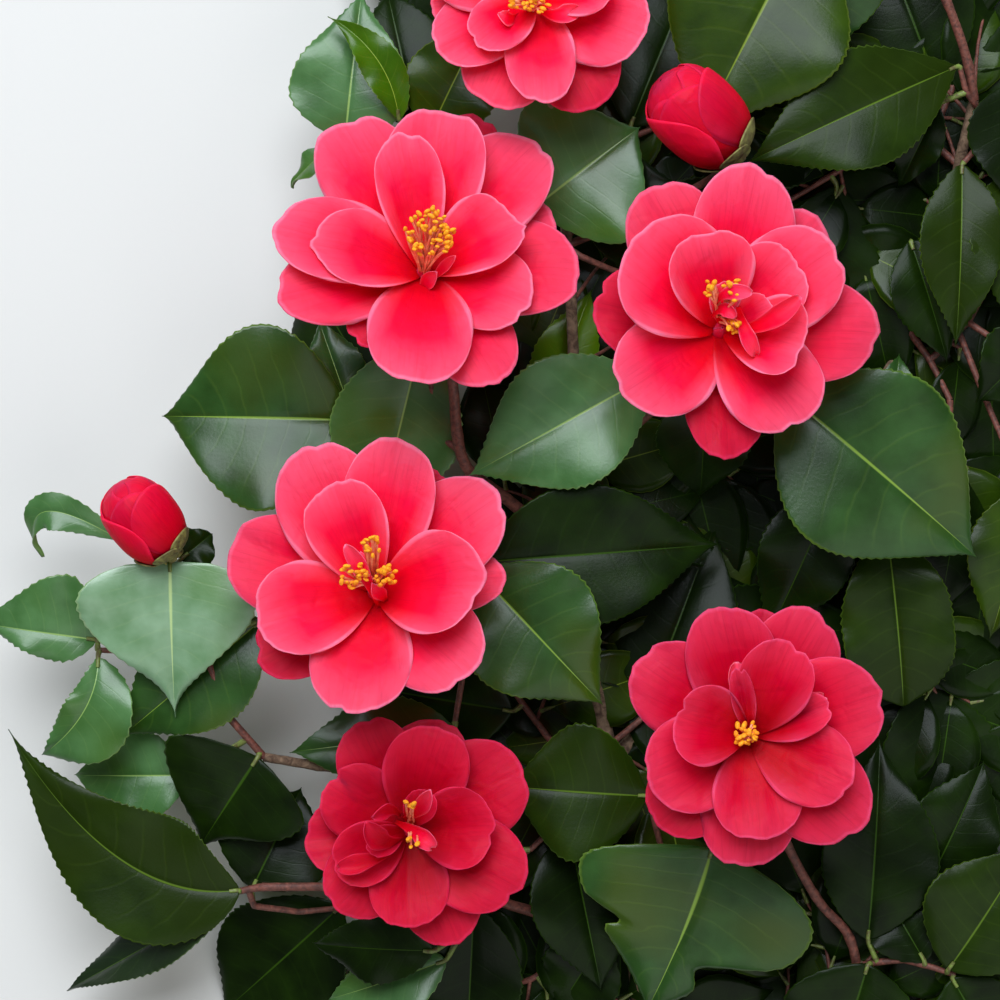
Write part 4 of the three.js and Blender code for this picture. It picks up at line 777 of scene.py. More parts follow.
def makePetalSkin(name, tint):
    material, tree, shader = startMaterial(
        name,
        Roughness=0.5,
        IOR=1.4,
        Sheen_Weight=0.02,
        Sheen_Roughness=0.4,
        Sheen_Tint=linear(tint["rim"]),
        Specular_IOR_Level=0.12,
        Subsurface_Weight=petalSkin["glow"],
        Subsurface_Radius=(1.0, 0.22, 0.18),
        Subsurface_Scale=petalSkin["glowDepth"] * mm,
    )
    uv = addNode(tree, "ShaderNodeUVMap", uv_map="blade")
    parts = addNode(tree, "ShaderNodeSeparateXYZ", {0: uv.outputs[0]})
    place = addNode(tree, "ShaderNodeTexCoord")
    cloud = addNode(
        tree,
        "ShaderNodeTexNoise",
        {"Vector": place.outputs["Object"], "Scale": 1000 / petalSkin["cloudSize"], "Detail": 3.0},
    )
    dents = addNode(
        tree,
        "ShaderNodeTexNoise",
        {
            "Vector": place.outputs["Object"],
            "Scale": 1000 / petalSkin["dentSize"],
            "Detail": 1.0,
            "Distortion": 0.6,
        },
    )
    # veins fan out with the petal's own columns: noise drawn out along the petal
    stretch = addNode(
        tree, "ShaderNodeMapping", {"Vector": uv.outputs[0], "Scale": (petalSkin["streaks"], 2.2, 1.0)}
    )
    streaks = addNode(
        tree,
        "ShaderNodeTexNoise",
        {"Vector": stretch.outputs[0], "Scale": 1.0, "Detail": 4.0, "Distortion": 1.1},
    )
    streak = addNode(tree, "ShaderNodeMapRange", {0: streaks.outputs[0], 1: 0.5, 2: 0.72, 3: 0.0, 4: 1.0})
    weak = addNode(
        tree, "ShaderNodeMath", {0: streak.outputs[0], 1: petalSkin["streakShare"]}, operation="MULTIPLY"
    )
    # the colour deepens towards the claw, in a wandering line: partly the petal's own deeper base, partly
    # painted shade and red light bounced between the petals at the heart
    wander = addNode(
        tree, "ShaderNodeMath", {0: cloud.outputs[0], 1: 0.35, 2: parts.outputs[1]}, operation="MULTIPLY_ADD"
    )
    ramp = addNode(tree, "ShaderNodeValToRGB", {0: wander.outputs[0]})
    ramp.color_ramp.elements[0].position = 0.22
    ramp.color_ramp.elements[0].color = linear(tint["base"])
    ramp.color_ramp.elements[1].position = 0.86
    ramp.color_ramp.elements[1].color = linear(tint["body"])
    middle = ramp.color_ramp.elements.new(0.46)
    middle.color = linear(tint["heart"])
    # a thin pale line runs all the way round the rim, the petal's own; inside it a broad paler band over the
    # outer part is a painted sheen, where the petals turn to the light
    offset = addNode(tree, "ShaderNodeMath", {0: parts.outputs[0], 1: 0.5}, operation="SUBTRACT")
    side = addNode(tree, "ShaderNodeMath", {0: offset.outputs[0]}, operation="ABSOLUTE")
    across = addNode(tree, "ShaderNodeMath", {0: side.outputs[0], 1: 2.0}, operation="MULTIPLY")
    outer = addNode(tree, "ShaderNodeMath", {0: across.outputs[0], 1: parts.outputs[1]}, operation="MAXIMUM")
    broad = addNode(tree, "ShaderNodeMapRange", {0: outer.outputs[0], 1: 0.62, 2: 1.0, 3: 0.0, 4: 0.3})
    narrow = addNode(tree, "ShaderNodeMapRange", {0: outer.outputs[0], 1: 0.95, 2: 0.985, 3: 0.0, 4: 0.7})
    rimLineAndSheen = addNode(tree, "ShaderNodeMath", {0: broad.outputs[0], 1: narrow.outputs[0]}, operation="MAXIMUM")
    far = addNode(tree, "ShaderNodeMapRange", {0: parts.outputs[1], 1: 0.1, 2: 0.6, 3: 0.0, 4: 1.0})
    rimLineAndSheenFar = addNode(tree, "ShaderNodeMath", {0: rimLineAndSheen.outputs[0], 1: far.outputs[0]}, operation="MULTIPLY")
    rimmed = addNode(
        tree,
        "ShaderNodeMix",
        {0: rimLineAndSheenFar.outputs[0], 6: ramp.outputs[0], 7: linear(tint["rim"])},
        data_type="RGBA",
    )
    veined = addNode(
        tree,
        "ShaderNodeMix",
        {0: weak.outputs[0], 6: rimmed.outputs[2], 7: linear(tint["vein"])},
        data_type="RGBA",
    )
    tree.links.new(veined.outputs[2], shader.inputs["Base Color"])
    cells = addNode(
        tree, "ShaderNodeTexNoise", {"Vector": place.outputs["Object"], "Scale": 1000 / petalSkin["cellSize"]}
    )
    relief = addNode(
        tree,
        "ShaderNodeMath",
        {0: streaks.outputs[0], 1: -petalSkin["streakDepth"], 2: cells.outputs[0]},
        operation="MULTIPLY_ADD",
    )
    dented = addNode(
        tree,
        "ShaderNodeMath",
        {0: dents.outputs[0], 1: petalSkin["dentDepth"], 2: relief.outputs[0]},
        operation="MULTIPLY_ADD",
    )
    bump = addNode(
        tree, "ShaderNodeBump", {"Strength": 0.25, "Distance": 0.2 * mm, "Height": dented.outputs[0]}
    )
    tree.links.new(bump.outputs[0], shader.inputs["Normal"])
    return material


petalNames = list(petalTintsWithPaintedLight)
petalMaterials = [makePetalSkin(name + "Petal", petalTintsWithPaintedLight[name]) for name in petalNames]


# Bark, stalks, stamens and bud scales share one build: two tones in a pattern, dull, with relief
plainSkins = {
    "fissuredBark": {
        "light": "#8A7058", "dark": "#4A3526", "size": 3.5, "stretch": 3.0, "relief": 0.5, "roughness": 0.85,
    },  # old wood: grey brown with fine cracks along the limb
    "youngBark": {
        "light": "#7C4638", "dark": "#48261E", "size": 2.0, "stretch": 2.0, "relief": 0.2, "roughness": 0.6,
    },  # this year's twigs: smooth red brown
    "greenStalk": {
        "light": "#748A3A", "dark": "#54492A", "size": 2.5, "stretch": 2.0, "relief": 0.1, "roughness": 0.5,
    },  # leaf stalks: green with a brown flush
    "budScale": {
        "light": "#8C8A4A", "dark": "#4E3A22", "size": 3.0, "stretch": 1.0, "relief": 0.2, "roughness": 0.6,
    },  # papery scales: olive with brown rims, slightly downy
    "filament": {
        "light": "#FFB98C", "dark": "#F06A50", "size": 3.0, "stretch": 1.0, "relief": 0.02, "roughness": 0.5,
    },  # stamen threads: pale flesh to pink
    "anther": {
        "light": "#FFB810", "dark": "#E47A00", "size": 0.8, "stretch": 1.0, "relief": 0.1, "roughness": 0.75,
    },  # pollen sacs: powdery yellow to orange
}


def makePlainSkin(name, skin):
    material, tree, shader = startMaterial(name, Roughness=skin["roughness"])
    place = addNode(tree, "ShaderNodeTexCoord")
    noise = addNode(
        tree,
        "ShaderNodeTexNoise",
        {
            "Vector": place.outputs["Object"],
            "Scale": 1000 / skin["size"],
            "Detail": 4.0,
            "Roughness": 0.6,
            "Distortion": 0.4 * skin["stretch"],
        },
    )
    tone = addNode(tree, "ShaderNodeMapRange", {0: noise.outputs[0], 1: 0.35, 2: 0.65, 3: 0.0, 4: 1.0})
    mixed = addNode(
        tree,
        "ShaderNodeMix",
        {0: tone.outputs[0], 6: linear(skin["dark"]), 7: linear(skin["light"])},
        data_type="RGBA",
    )
    tree.links.new(mixed.outputs[2], shader.inputs["Base Color"])
    bump = addNode(
        tree, "ShaderNodeBump", {"Strength": 0.6, "Distance": skin["relief"] * mm, "Height": noise.outputs[0]}
    )
    tree.links.new(bump.outputs[0], shader.inputs["Normal"])
    return material


plainMaterials = {name: makePlainSkin(name, skin) for name, skin in plainSkins.items()}
print("materials made:", len(bpy.data.materials))


# A pile gathers closed sheets until they become one mesh
def newPile():
    return {"points": [], "quads": [], "uvs": [], "tints": [], "count": 0}


def addSheet(pile, top, bottom, uv, tintTop, tintBottom):
    # top and bottom are rows x columns grids; their rims are joined, so the sheet is closed
    rows, columns = top.shape[:2]
    size = rows * columns
    grid = np.arange(size).reshape(rows, columns) + pile["count"]
    faces = np.stack([grid[:-1, :-1], grid[1:, :-1], grid[1:, 1:], grid[:-1, 1:]], axis=-1).reshape(-1, 4)
    loop = np.concatenate([grid[:-1, 0], grid[-1, :-1], grid[:0:-1, -1], grid[0, :0:-1]])
    ahead = np.roll(loop, -1)
    rim = np.stack([loop, loop + size, ahead + size, ahead], axis=-1)
    pile["points"] += [top.reshape(-1, 3), bottom.reshape(-1, 3)]
    pile["quads"] += [faces, faces[:, ::-1] + size, rim]
    pile["uvs"] += [uv.reshape(-1, 2)] * 2
    for grown, tint in ((faces, tintTop), (faces, tintBottom), (rim, tintTop)):
        pile["tints"].append(np.full(len(grown), tint))
    pile["count"] += 2 * size


def makePiece(name, pile, materials):
    points = np.concatenate(pile["points"]) * mm
    quads = np.concatenate(pile["quads"])
    uvs = np.concatenate(pile["uvs"])
    mesh = bpy.data.meshes.new(name)
    mesh.vertices.add(len(points))
    mesh.vertices.foreach_set("co", points.astype(np.float32).ravel())
    mesh.loops.add(quads.size)
    mesh.loops.foreach_set("vertex_index", quads.astype(np.int32).ravel())
    mesh.polygons.add(len(quads))
    mesh.polygons.foreach_set("loop_start", np.arange(0, quads.size, 4, dtype=np.int32))
    mesh.polygons.foreach_set("material_index", np.concatenate(pile["tints"]).astype(np.int32))
    mesh.update(calc_edges=True)
    mesh.validate()
    layer = mesh.uv_layers.new(name="blade")
    order = np.empty(len(mesh.loops), dtype=np.int32)
    mesh.loops.foreach_get("vertex_index", order)
    layer.data.foreach_set("uv", uvs[order].astype(np.float32).ravel())
    mesh.shade_smooth()
    piece = bpy.data.objects.new(name, mesh)
    scene.collection.objects.link(piece)
    for material in materials:
        mesh.materials.append(material)
    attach(piece, "root")
    return piece


# Leaves: the blade follows the source's own leaf rule, with teeth, veins and a soft wave added
blade = {
    "peak": 0.42,
    "drip": 1.24,  # how drawn out the tip is
    "heel": 0.72,  # how wedge-shaped the foot is
    "shoulder": 1.0,  # above 1 the blade stays wide before it draws in
    "arch": 0.07,
    "fold": 0.12,
    "thickness": 0.5,
    "toothPitch": 2.9,
    "toothDepth": 0.62,
    "tooth": [0.0, 0.55, -0.45],  # the rim's way out and in over one tooth
    "toothFullHalf": 4,  # mm of half width from which teeth have their full depth
    "toothFullWidth": 26,  # and mm of width of the whole leaf
    "plainRows": 11,  # rows of a leaf with no teeth
    "midribDip": 0.5,
    "dipHalf": 0.9,  # mm from the midrib to where its groove fades
    "midribKeel": 0.9,
    "keelHalf": 1.1,
    "veinDip": 0.06,
    "wave": 1.3,  # mm of ripple at the rim
    "waveTurns": (1.6, 2.8),
    "waveFade": 2.2,  # above 1 the ripple keeps to the rim
    "curl": 0.06,  # the rim turns down, as a share of the half width
    "droop": 1.2,  # mm that the tip turns down
    "droopFrom": 0.86,
    "columns": [0, 0.03, 0.1, 0.28, 0.5, 0.72, 0.88, 0.965, 1.0],
    "liftShare": 0.6,
    "groundLift": 1.2,
    "touch": 0.25,  # mm within which a leaf tip counts as standing in its solid
}
liftTries = [0, -3, 3, -6, 6, -9, 9, -13, 13, -17]
sprayLifts = [0, -4, 4, -8, 8]
sprayTurns = [0, 18, -18, 36, -36]
# a leaf of a spray: mm, degrees from the twig, and its width as a share of its length
sprayRule = {
    "length": 78,
    "lengthShares": (0.84, 1.14),
    "sideways": (44, 74),
    "ahead": (-10, 10),  # the last leaf of a twig points on
    "drop": (8, 24),
    "roll": (-15, 15),
    "wideShares": (0.54, 0.64),
    "bare": 0.08,  # share of the length that is stalk
}


def leafShare(s, peak, drip, heel, shoulder):
    rising = np.sin(math.pi / 2 * np.clip(s / peak, 0, 1)) ** heel
    falling = np.cos(math.pi / 2 * np.clip((s - peak) / (1 - peak), 0, 1) ** shoulder) ** (1.08 * drip)
    return np.where(s < peak, rising, falling)


def leafPlan(leaf, lift):
    to = leaf["to"]
    base = spot(leaf["at"])
    tip = spot([to[0], to[1], max(to[2] + lift, blade["groundLift"])])
    length = np.linalg.norm(tip - base)
    run = unit(tip - base)
    side = unit(np.cross(up, run))
    face = np.cross(run, side)
    roll = math.radians(leaf.get("roll", 0))
    across = side * math.cos(roll) + face * math.sin(roll)
    if "via" in leaf:
        via = leaf["via"]
        control = spot([via[0], via[1], via[2] + lift * blade["liftShare"]])
    else:
        control = (base + tip) / 2 + face * 2 * leaf.get("arch", blade["arch"]) * length
    width = leaf["wide"] * stepSize((leaf["at"][2] + to[2]) / 2)
    return {"base": base, "control": control, "tip": tip, "across": across, "width": width, "leaf": leaf}


def midrib(plan, s):
    s = np.atleast_1d(s)[:, None]
    return plan["base"] * (1 - s) ** 2 + plan["control"] * 2 * s * (1 - s) + plan["tip"] * s * s


def addLeaf(pile, plan, seed, columns, fine=True):
    leaf = plan["leaf"]
    dice = chance(seed)
    line = midrib(plan, np.linspace(0, 1, 40))
    length = np.linalg.norm(np.diff(line, axis=0), axis=1).sum()
    teeth = max(6, round(length / blade["toothPitch"]))
    rows = 3 * teeth + 1 if fine else blade["plainRows"]
    s = np.linspace(0, 1, rows)
    s = np.sin(s * math.pi / 2) * 0.25 + s * 0.75 if fine else s ** 0.9
    place = midrib(plan, s)
    run = unit(midrib(plan, np.minimum(s + 0.02, 1)) - midrib(plan, s - 0.02))
    side = unit(plan["across"] - run * (run @ plan["across"])[:, None])
    out = np.cross(run, side)
    shape = [leaf.get(key, blade[key]) for key in ("peak", "drip", "heel", "shoulder")]
    half = plan["width"] / 2 * leafShare(s, *shape)
    half = np.maximum(half * (1 - 0.35 * np.clip((s - 0.9) / 0.1, 0, 1)), 0.12)
    a = np.array([-c for c in columns[:0:-1]] + columns)
    fold = leaf.get("fold", blade["fold"])
    shares = np.where(a >= 0, leaf.get("left", 1), leaf.get("right", 1))
    # the rim is cut in small forward-pointing teeth
    tooth = np.zeros((rows, len(a)))
    if fine:
        notch = np.tile(blade["tooth"], teeth + 1)[:rows] * blade["toothDepth"]
        notch = notch * (1 + 0.5 * np.sin(s * dice(17, 29) + dice(0, 6.3)))
        tooth += notch[:, None] * np.clip((np.abs(a) - 0.9) / 0.1, 0, 1)
    # teeth are smaller where the blade is narrow, and on small leaves
    narrow = np.clip(half[:, None] / blade["toothFullHalf"], 0, 1)
    toothSize = narrow * min(plan["width"] / blade["toothFullWidth"], 1)
    reach = half[:, None] * shares * a + np.sign(a) * tooth * toothSize
    # torn or eaten places: where, on which side, how long and how deep
    for where, hand, long, deep in leaf.get("bites", []):
        reach = reach * (1 - deep * (np.sign(a) == hand) * np.exp(-(((s[:, None] - where) / long) ** 2)))
    spread = np.abs(reach)
    height = spread * fold * (0.55 + 0.45 * np.abs(a))
    turns, phase, other = dice(*blade["waveTurns"]), dice(0, 6.3), dice(0, 6.3)
    ripple = np.sin(2 * math.pi * turns * s[:, None] + np.where(a >= 0, phase, other))
    swell = np.clip(np.sin(math.pi * s), 0, 1)[:, None] ** 0.5
    height = height + blade["wave"] * ripple * np.abs(a) ** blade["waveFade"] * swell
    height = height - blade["curl"] * plan["width"] / 2 * np.abs(a) ** 5 * swell
    dip = np.zeros_like(height)
    keel = np.zeros_like(height)
    if fine:
        dip -= blade["midribDip"] * np.exp(-((spread / blade["dipHalf"]) ** 2))
        keel -= blade["midribKeel"] * np.exp(-((spread / blade["keelHalf"]) ** 2))
        swept = leafSkin["veinSweep"] * np.abs(a) ** leafSkin["sweepPower"]
        phaseOf = s[:, None] * leafSkin["veinsPerSide"] - swept
        ridge = np.abs(np.sin(math.pi * phaseOf))
        shown = np.clip(1.15 - np.abs(a), 0, 1) * np.clip(np.abs(a) * 6, 0, 1)
        dip += blade["veinDip"] * (ridge - 0.6) * shown
    # the tip turns down a little
    late = np.clip((s - blade["droopFrom"]) / (1 - blade["droopFrom"]), 0, 1)
    droop = blade["droop"] * late**2
    height = height - droop[:, None]
    middle = place[:, None] + side[:, None] * reach[..., None] + out[:, None] * height[..., None]
    thick = blade["thickness"] / 2
    top = middle + out[:, None] * (dip + thick)[..., None]
    bottom = middle + out[:, None] * (np.minimum(dip, 0) * 0.5 + keel - thick)[..., None]
    low = blade["groundLift"] * 0.5
    top[..., 2] = np.maximum(top[..., 2], low + 0.4)
    bottom[..., 2] = np.maximum(bottom[..., 2], low)
    uv = np.stack(np.broadcast_arrays((a[None] + 1) / 2, s[:, None]), axis=-1)
    # a blade with no tint of its own takes dark, the painted shade of the leaves deep in the plant
    tint = leafNames.index(leaf.get("tint", "dark"))
    addSheet(pile, top, bottom, uv, tint, underIndex)


def rootOn(lines, place):
    best = None
    for line in lines:
        for start, end in zip(line[:-1], line[1:]):
            part = end - start
            share = np.clip((place - start) @ part / (part @ part), 0, 1)
            point = start + part * share
            if best is None or np.linalg.norm(point - place) < np.linalg.norm(best - place):
                best = point
    return best


def sprayLeaves(spray, seed):
    dice = chance(seed)
    line = [spot(place) for place in spray["line"]]
    made = []
    for i in range(spray["count"]):
        t = (i + 1) / spray["count"]
        foot = along(line, t)[0]
        run = (along(line, min(t + 0.05, 1)) - along(line, t - 0.05))[0]
        heading = math.atan2(run[1], run[0])
        sideways = (1 if i % 2 == 0 else -1) * dice(*sprayRule["sideways"])
        spread = sideways if t < 1 else dice(*sprayRule["ahead"])
        long = sprayRule["length"] * dice(*sprayRule["lengthShares"])
        drop = dice(*sprayRule["drop"])
        roll = dice(*sprayRule["roll"])
        wide = long * dice(*sprayRule["wideShares"]) / stepSize(foot[2] - shift[2])
        made.append(
            {
                "foot": foot, "way": heading, "spread": spread, "long": long,
                "drop": drop, "roll": roll, "wide": wide,
            }
        )
    return made


def turnedLeaf(grown, turn):
    angle = grown["way"] + math.radians(grown["spread"] + turn)
    long = grown["long"]
    out = np.array([math.cos(angle) * long, math.sin(angle) * long, -grown["drop"]])
    foot = grown["foot"]
    return {
        "at": gridPlace(foot + out * sprayRule["bare"]),
        "to": gridPlace(foot + out),
        "wide": grown["wide"],
        "roll": grown["roll"],
    }


def nodeTree(name):
    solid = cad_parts[name]
    tree = KDTree(len(solid.data.vertices))
    for i, corner in enumerate(solid.data.vertices):
        tree.insert(solid.matrix_world @ corner.co, i)
    tree.balance()
    return tree


def standsIn(tree, point):
    return tree.find(point * mm)[2] < blade["touch"] * mm


# Petals: each lies on the bowl of its bloom, rounded and notched, cupped, with a ruffled rim
petal = {
    "bowlReach": 75,
    "bowlSag": 5,
    "bowlSeat": 0.1,
    "root": 1.5,
    "thickness": 0.45,
    "rows": [
        0, 0.05, 0.11, 0.18, 0.25, 0.32, 0.39, 0.46, 0.53, 0.6, 0.66, 0.72, 0.78, 0.83, 0.88, 0.92,
        0.955, 0.985, 1,
    ],
    "columns": 25,
    "widest": 0.56,  # share of the length where the sides stop widening
    "clawShare": 0.2,  # width at the claw, as a share of the widest
    "notch": 1.6,
    "notchHalf": 0.13,  # half width of the notch, as a share of the half width
    "ruffle": 0.75,
    "ruffleWaves": (3, 6),
    "fineRuffleShare": 0.35,
    "fineRuffleWaves": (9, 14),
    "nicks": 0.16,
    "nickWaves": (15, 21),
    "fineNickWaves": (30, 38),
    "cup": 1.6,
    "backFrom": 0.72,  # where the rim begins to turn back
    "creaseHalf": 0.2,
    "back": 1.2,  # how far the rim turns back
    "ribs": 12,
    "ribRelief": 0.07,
    "petaloidCurl": 0.9,  # half the angle that a petaloid is curled through
}


def bowl(reach, rise):
    q = np.minimum(reach / petal["bowlReach"], 1)
    return rise * (petal["bowlSeat"] + 1 - (1 - q) ** 2) - petal["bowlSag"] * q**4


def bloomAxes(bloom):
    axis = unit(
        np.array([math.tan(math.radians(bloom["leanRight"])), math.tan(math.radians(bloom["leanUp"])), 1.0])
    )
    across = unit(np.array([1.0, 0, 0]) - axis * axis[0])
    return {"heart": spot(bloom["heart"]), "axis": axis, "across": across, "along": np.cross(axis, across)}


def onBowl(axes, reach, turn, height):
    x, y = (reach * np.cos(turn))[..., None], (reach * np.sin(turn))[..., None]
    return axes["heart"] + (axes["across"] * x + axes["along"] * y) + axes["axis"] * height[..., None]


def aimPetal(axes, bloom, shape):
    # where a petal must point for its tip to show at its turn and reach in the frame
    turn = math.radians(shape["turn"])
    across = bloom["heart"][0] + shape["reach"] * math.cos(turn)
    down = bloom["heart"][1] - shape["reach"] * math.sin(turn)
    step = stepSize(bloom["heart"][2])
    x, y = shape["reach"] * step * math.cos(turn), shape["reach"] * step * math.sin(turn)
    for _ in range(14):
        reach = math.hypot(x, y)
        height = np.array(bowl(reach, shape["rise"]))
        tip = onBowl(axes, np.array(reach), np.array(math.atan2(y, x)), height)
        wanted = spot([across, down, tip[2] - shift[2]])
        x += 0.8 * (wanted[0] - tip[0])
        y += 0.8 * (wanted[1] - tip[1])
    return math.atan2(y, x), math.hypot(x, y)


def addPetal(pile, axes, bloom, shape, seed):
    dice = chance(seed)
    turn, reach = aimPetal(axes, bloom, shape)
    width = shape["wide"] * stepSize(bloom["heart"][2] + shape["rise"])
    half = min(width / 2, 0.98 * reach)
    root = petal["root"]
    u = np.sin(np.linspace(-1, 1, petal["columns"]) * math.pi / 2 * 0.9) / math.sin(math.pi / 2 * 0.9)
    v = np.array(petal["rows"])[:, None]
    widest = petal["widest"]
    rim = widest + (1 - widest) * np.sqrt(np.clip(1 - np.abs(u) ** 2.3, 0, 1))
    notchAt = dice(-0.25, 0.25)
    notch = petal["notch"] * dice(0.2, 1.3) / reach
    rim = rim - notch * np.exp(-(((u - notchAt) / petal["notchHalf"]) ** 2))
    # most petals end a little off their middle, some in a blunt point
    lean = shape.get("lean", dice(-0.3, 0.3))
    rim = rim + 0.05 * lean * u * (1 - np.abs(u)) * 4
    rim = rim + shape.get("point", 0.25 * dice(-0.4, 1.0)) * 0.12 * (1 - np.abs(u - lean * 0.3)) ** 3
    # and the rim is a little nicked
    coarse = np.sin(u * dice(*petal["nickWaves"]) + dice(0, 6))
    small = np.sin(u * dice(*petal["fineNickWaves"]) + dice(0, 6))
    rim = rim + petal["nicks"] / reach * (coarse + 0.7 * small)
    y = root + (reach - root) * v * rim
    opening = np.sin(math.pi / 2 * np.clip(v * 1.02, 0, 1) ** 0.9)
    x = half * u * (petal["clawShare"] + (1 - petal["clawShare"]) * opening)
    outward = np.hypot(x, y)
    angle = turn + np.arctan2(x, y)
    height = bowl(np.minimum(outward, reach * 1.02), shape["rise"])
    height = height + half * shape.get("fold", 0) * np.abs(u) ** 1.5 * v
    cup = petal["cup"] * dice(0.5, 1.3)
    height = height + cup * (v * 1.1) * (np.abs(u) ** 2 - 0.35) * (1 - 1.5 * np.clip(v - 0.65, 0, 1))
    # the rim turns back a little and ruffles
    curled = petal["back"] * dice(0.6, 1.4)
    height = height - curled * np.clip((v - petal["backFrom"]) / (1 - petal["backFrom"]), 0, 1) ** 2
    ruffle = petal["ruffle"] * dice(0.5, 1.5)
    broad = np.sin(u * dice(*petal["ruffleWaves"]) + dice(0, 6.3))
    height = height + ruffle * broad * np.clip((v - 0.35) / 0.65, 0, 1) ** 2
    tight = petal["fineRuffleShare"] * np.sin(u * dice(*petal["fineRuffleWaves"]) + dice(0, 6.3))
    height = height + ruffle * tight * np.clip((v - 0.7) / 0.3, 0, 1)
    ribs = np.cos(u * math.pi * petal["ribs"]) * np.clip(v * 3, 0, 1) * np.clip((1 - v) * 8, 0, 1)
    height = height - petal["ribRelief"] * ribs
    # one side lies higher than the other, and a soft crease runs out from the claw
    height = height + shape.get("tilt", dice(-1.3, 1.3)) * u * np.clip(v * 1.4, 0, 1)
    crease = shape.get("crease", dice(-1.3, 0.5))
    line = np.exp(-(((u - dice(-0.3, 0.3)) / petal["creaseHalf"]) ** 2))
    height = height + crease * line * np.sin(math.pi * v**1.3)
    middle = onBowl(axes, outward, angle, height)
    lift = axes["axis"] * petal["thickness"] / 2
    uv = np.stack(np.broadcast_arrays((u[None] + 1) / 2, v), axis=-1)
    tint = petalNames.index(shape.get("tint", bloom.get("tint", "coral")))
    # columns run counterclockwise seen from the front, so the front face looks out of the bloom
    addSheet(pile, middle + lift, middle - lift, uv, tint, tint)


# Petaloids: stamens half turned into petals, small curled blades that stand in the middle
def addPetaloid(pile, small, seed):
    dice = chance(seed)
    plan = leafPlan({"fold": 0, **small}, 0)
    v = np.linspace(0, 1, 20)
    u = np.linspace(-1, 1, 15)
    place = midrib(plan, v)
    run = unit(midrib(plan, np.minimum(v + 0.02, 1)) - midrib(plan, v - 0.02))
    side = unit(plan["across"] - run * (run @ plan["across"])[:, None])
    out = np.cross(run, side)
    half = plan["width"] / 2 * np.clip(0.25 + 1.1 * v, 0, 1)
    half = half * np.sqrt(np.clip(1 - (np.clip(v - 0.55, 0, 1) / 0.46) ** 2, 0.004, 1))
    curl = small.get("curl", petal["petaloidCurl"])
    angle = curl * u[None] * (0.6 + 0.4 * v[:, None])
    reach = half[:, None] * np.sin(angle) / max(curl, 0.2)
    height = half[:, None] * (1 - np.cos(angle)) / max(curl, 0.2)
    height = height + 0.5 * np.sin(v[:, None] * dice(5, 8) + u[None] * dice(2, 4)) * v[:, None]
    middle = place[:, None] + side[:, None] * reach[..., None] + out[:, None] * height[..., None]
    lift = out[:, None] * petal["thickness"] / 2
    uv = np.stack(np.broadcast_arrays((u[None] + 1) / 2, v[:, None]), axis=-1)
    tint = petalNames.index(small.get("tint", "coral"))
    addSheet(pile, middle + lift, middle - lift, uv, tint, tint)


# Scales and wrapped petals of buds and calyxes: patches on a turned shape
def wrapShell(pile, core, wrap):
    # core is the turned shape: start, axis, profile, length and radius
    axis = core["axis"]
    side = unit(np.array([1.0, 0, 0]) - axis * axis[0])
    top = np.cross(axis, side)
    u = np.linspace(-1, 1, wrap["columns"])
    v = np.linspace(0, 1, wrap["rows"])[:, None] ** 0.85
    # a blade that goes all the way round stays closed, the others are rounded at their end
    if wrap["halfSpan"] == math.pi:
        end, spread = 1 + 0 * u, 1 + 0 * v
    else:
        end = 0.5 + 0.5 * np.sqrt(np.clip(1 - np.abs(u) ** 2.2, 0, 1))
        spread = 0.55 + 0.45 * np.sin(math.pi / 2 * v)
    s = wrap["from"] + (wrap["to"] - wrap["from"]) * v * end
    angle = wrap["turn"] + wrap["halfSpan"] * u * spread
    knots = np.array(core["profile"])
    base = np.interp(s, knots[:, 0], knots[:, 1]) * core["radius"]
    distance = base + wrap["out"] + wrap["tilt"] * u
    direction = side * np.cos(angle)[..., None] + top * np.sin(angle)[..., None]
    spine = core["start"] + axis * (s * core["length"])[..., None]
    outer = spine + direction * (distance + wrap["thick"] / 2)[..., None]
    inner = spine + direction * (distance - wrap["thick"] / 2)[..., None]
    uv = np.stack(np.broadcast_arrays((u[None] + 1) / 2, v), axis=-1)
    addSheet(pile, outer[:, ::-1], inner[:, ::-1], uv[:, ::-1], wrap["tint"], wrap["tint"])


def smoothProfile(knots, count=40):
    knots = np.array(knots, dtype=float)
    t = np.linspace(0, 1, count)
    line = along(np.column_stack([knots, np.zeros(len(knots))]), t)
    order = np.argsort(line[:, 0])
    return np.column_stack([line[order, 0], np.maximum(line[order, 1], 0)])


# Geometry Nodes: one tree draws everything that follows a path with a thickness of its own
def startTree(name, inputs):
    tree = bpy.data.node_groups.new(name, "GeometryNodeTree")
    tree.interface.new_socket("Geometry", in_out="INPUT", socket_type="NodeSocketGeometry")
    tree.interface.new_socket("Geometry", in_out="OUTPUT", socket_type="NodeSocketGeometry")
    for key, kind in inputs.items():
        tree.interface.new_socket(key, in_out="INPUT", socket_type="NodeSocket" + kind)
    return tree


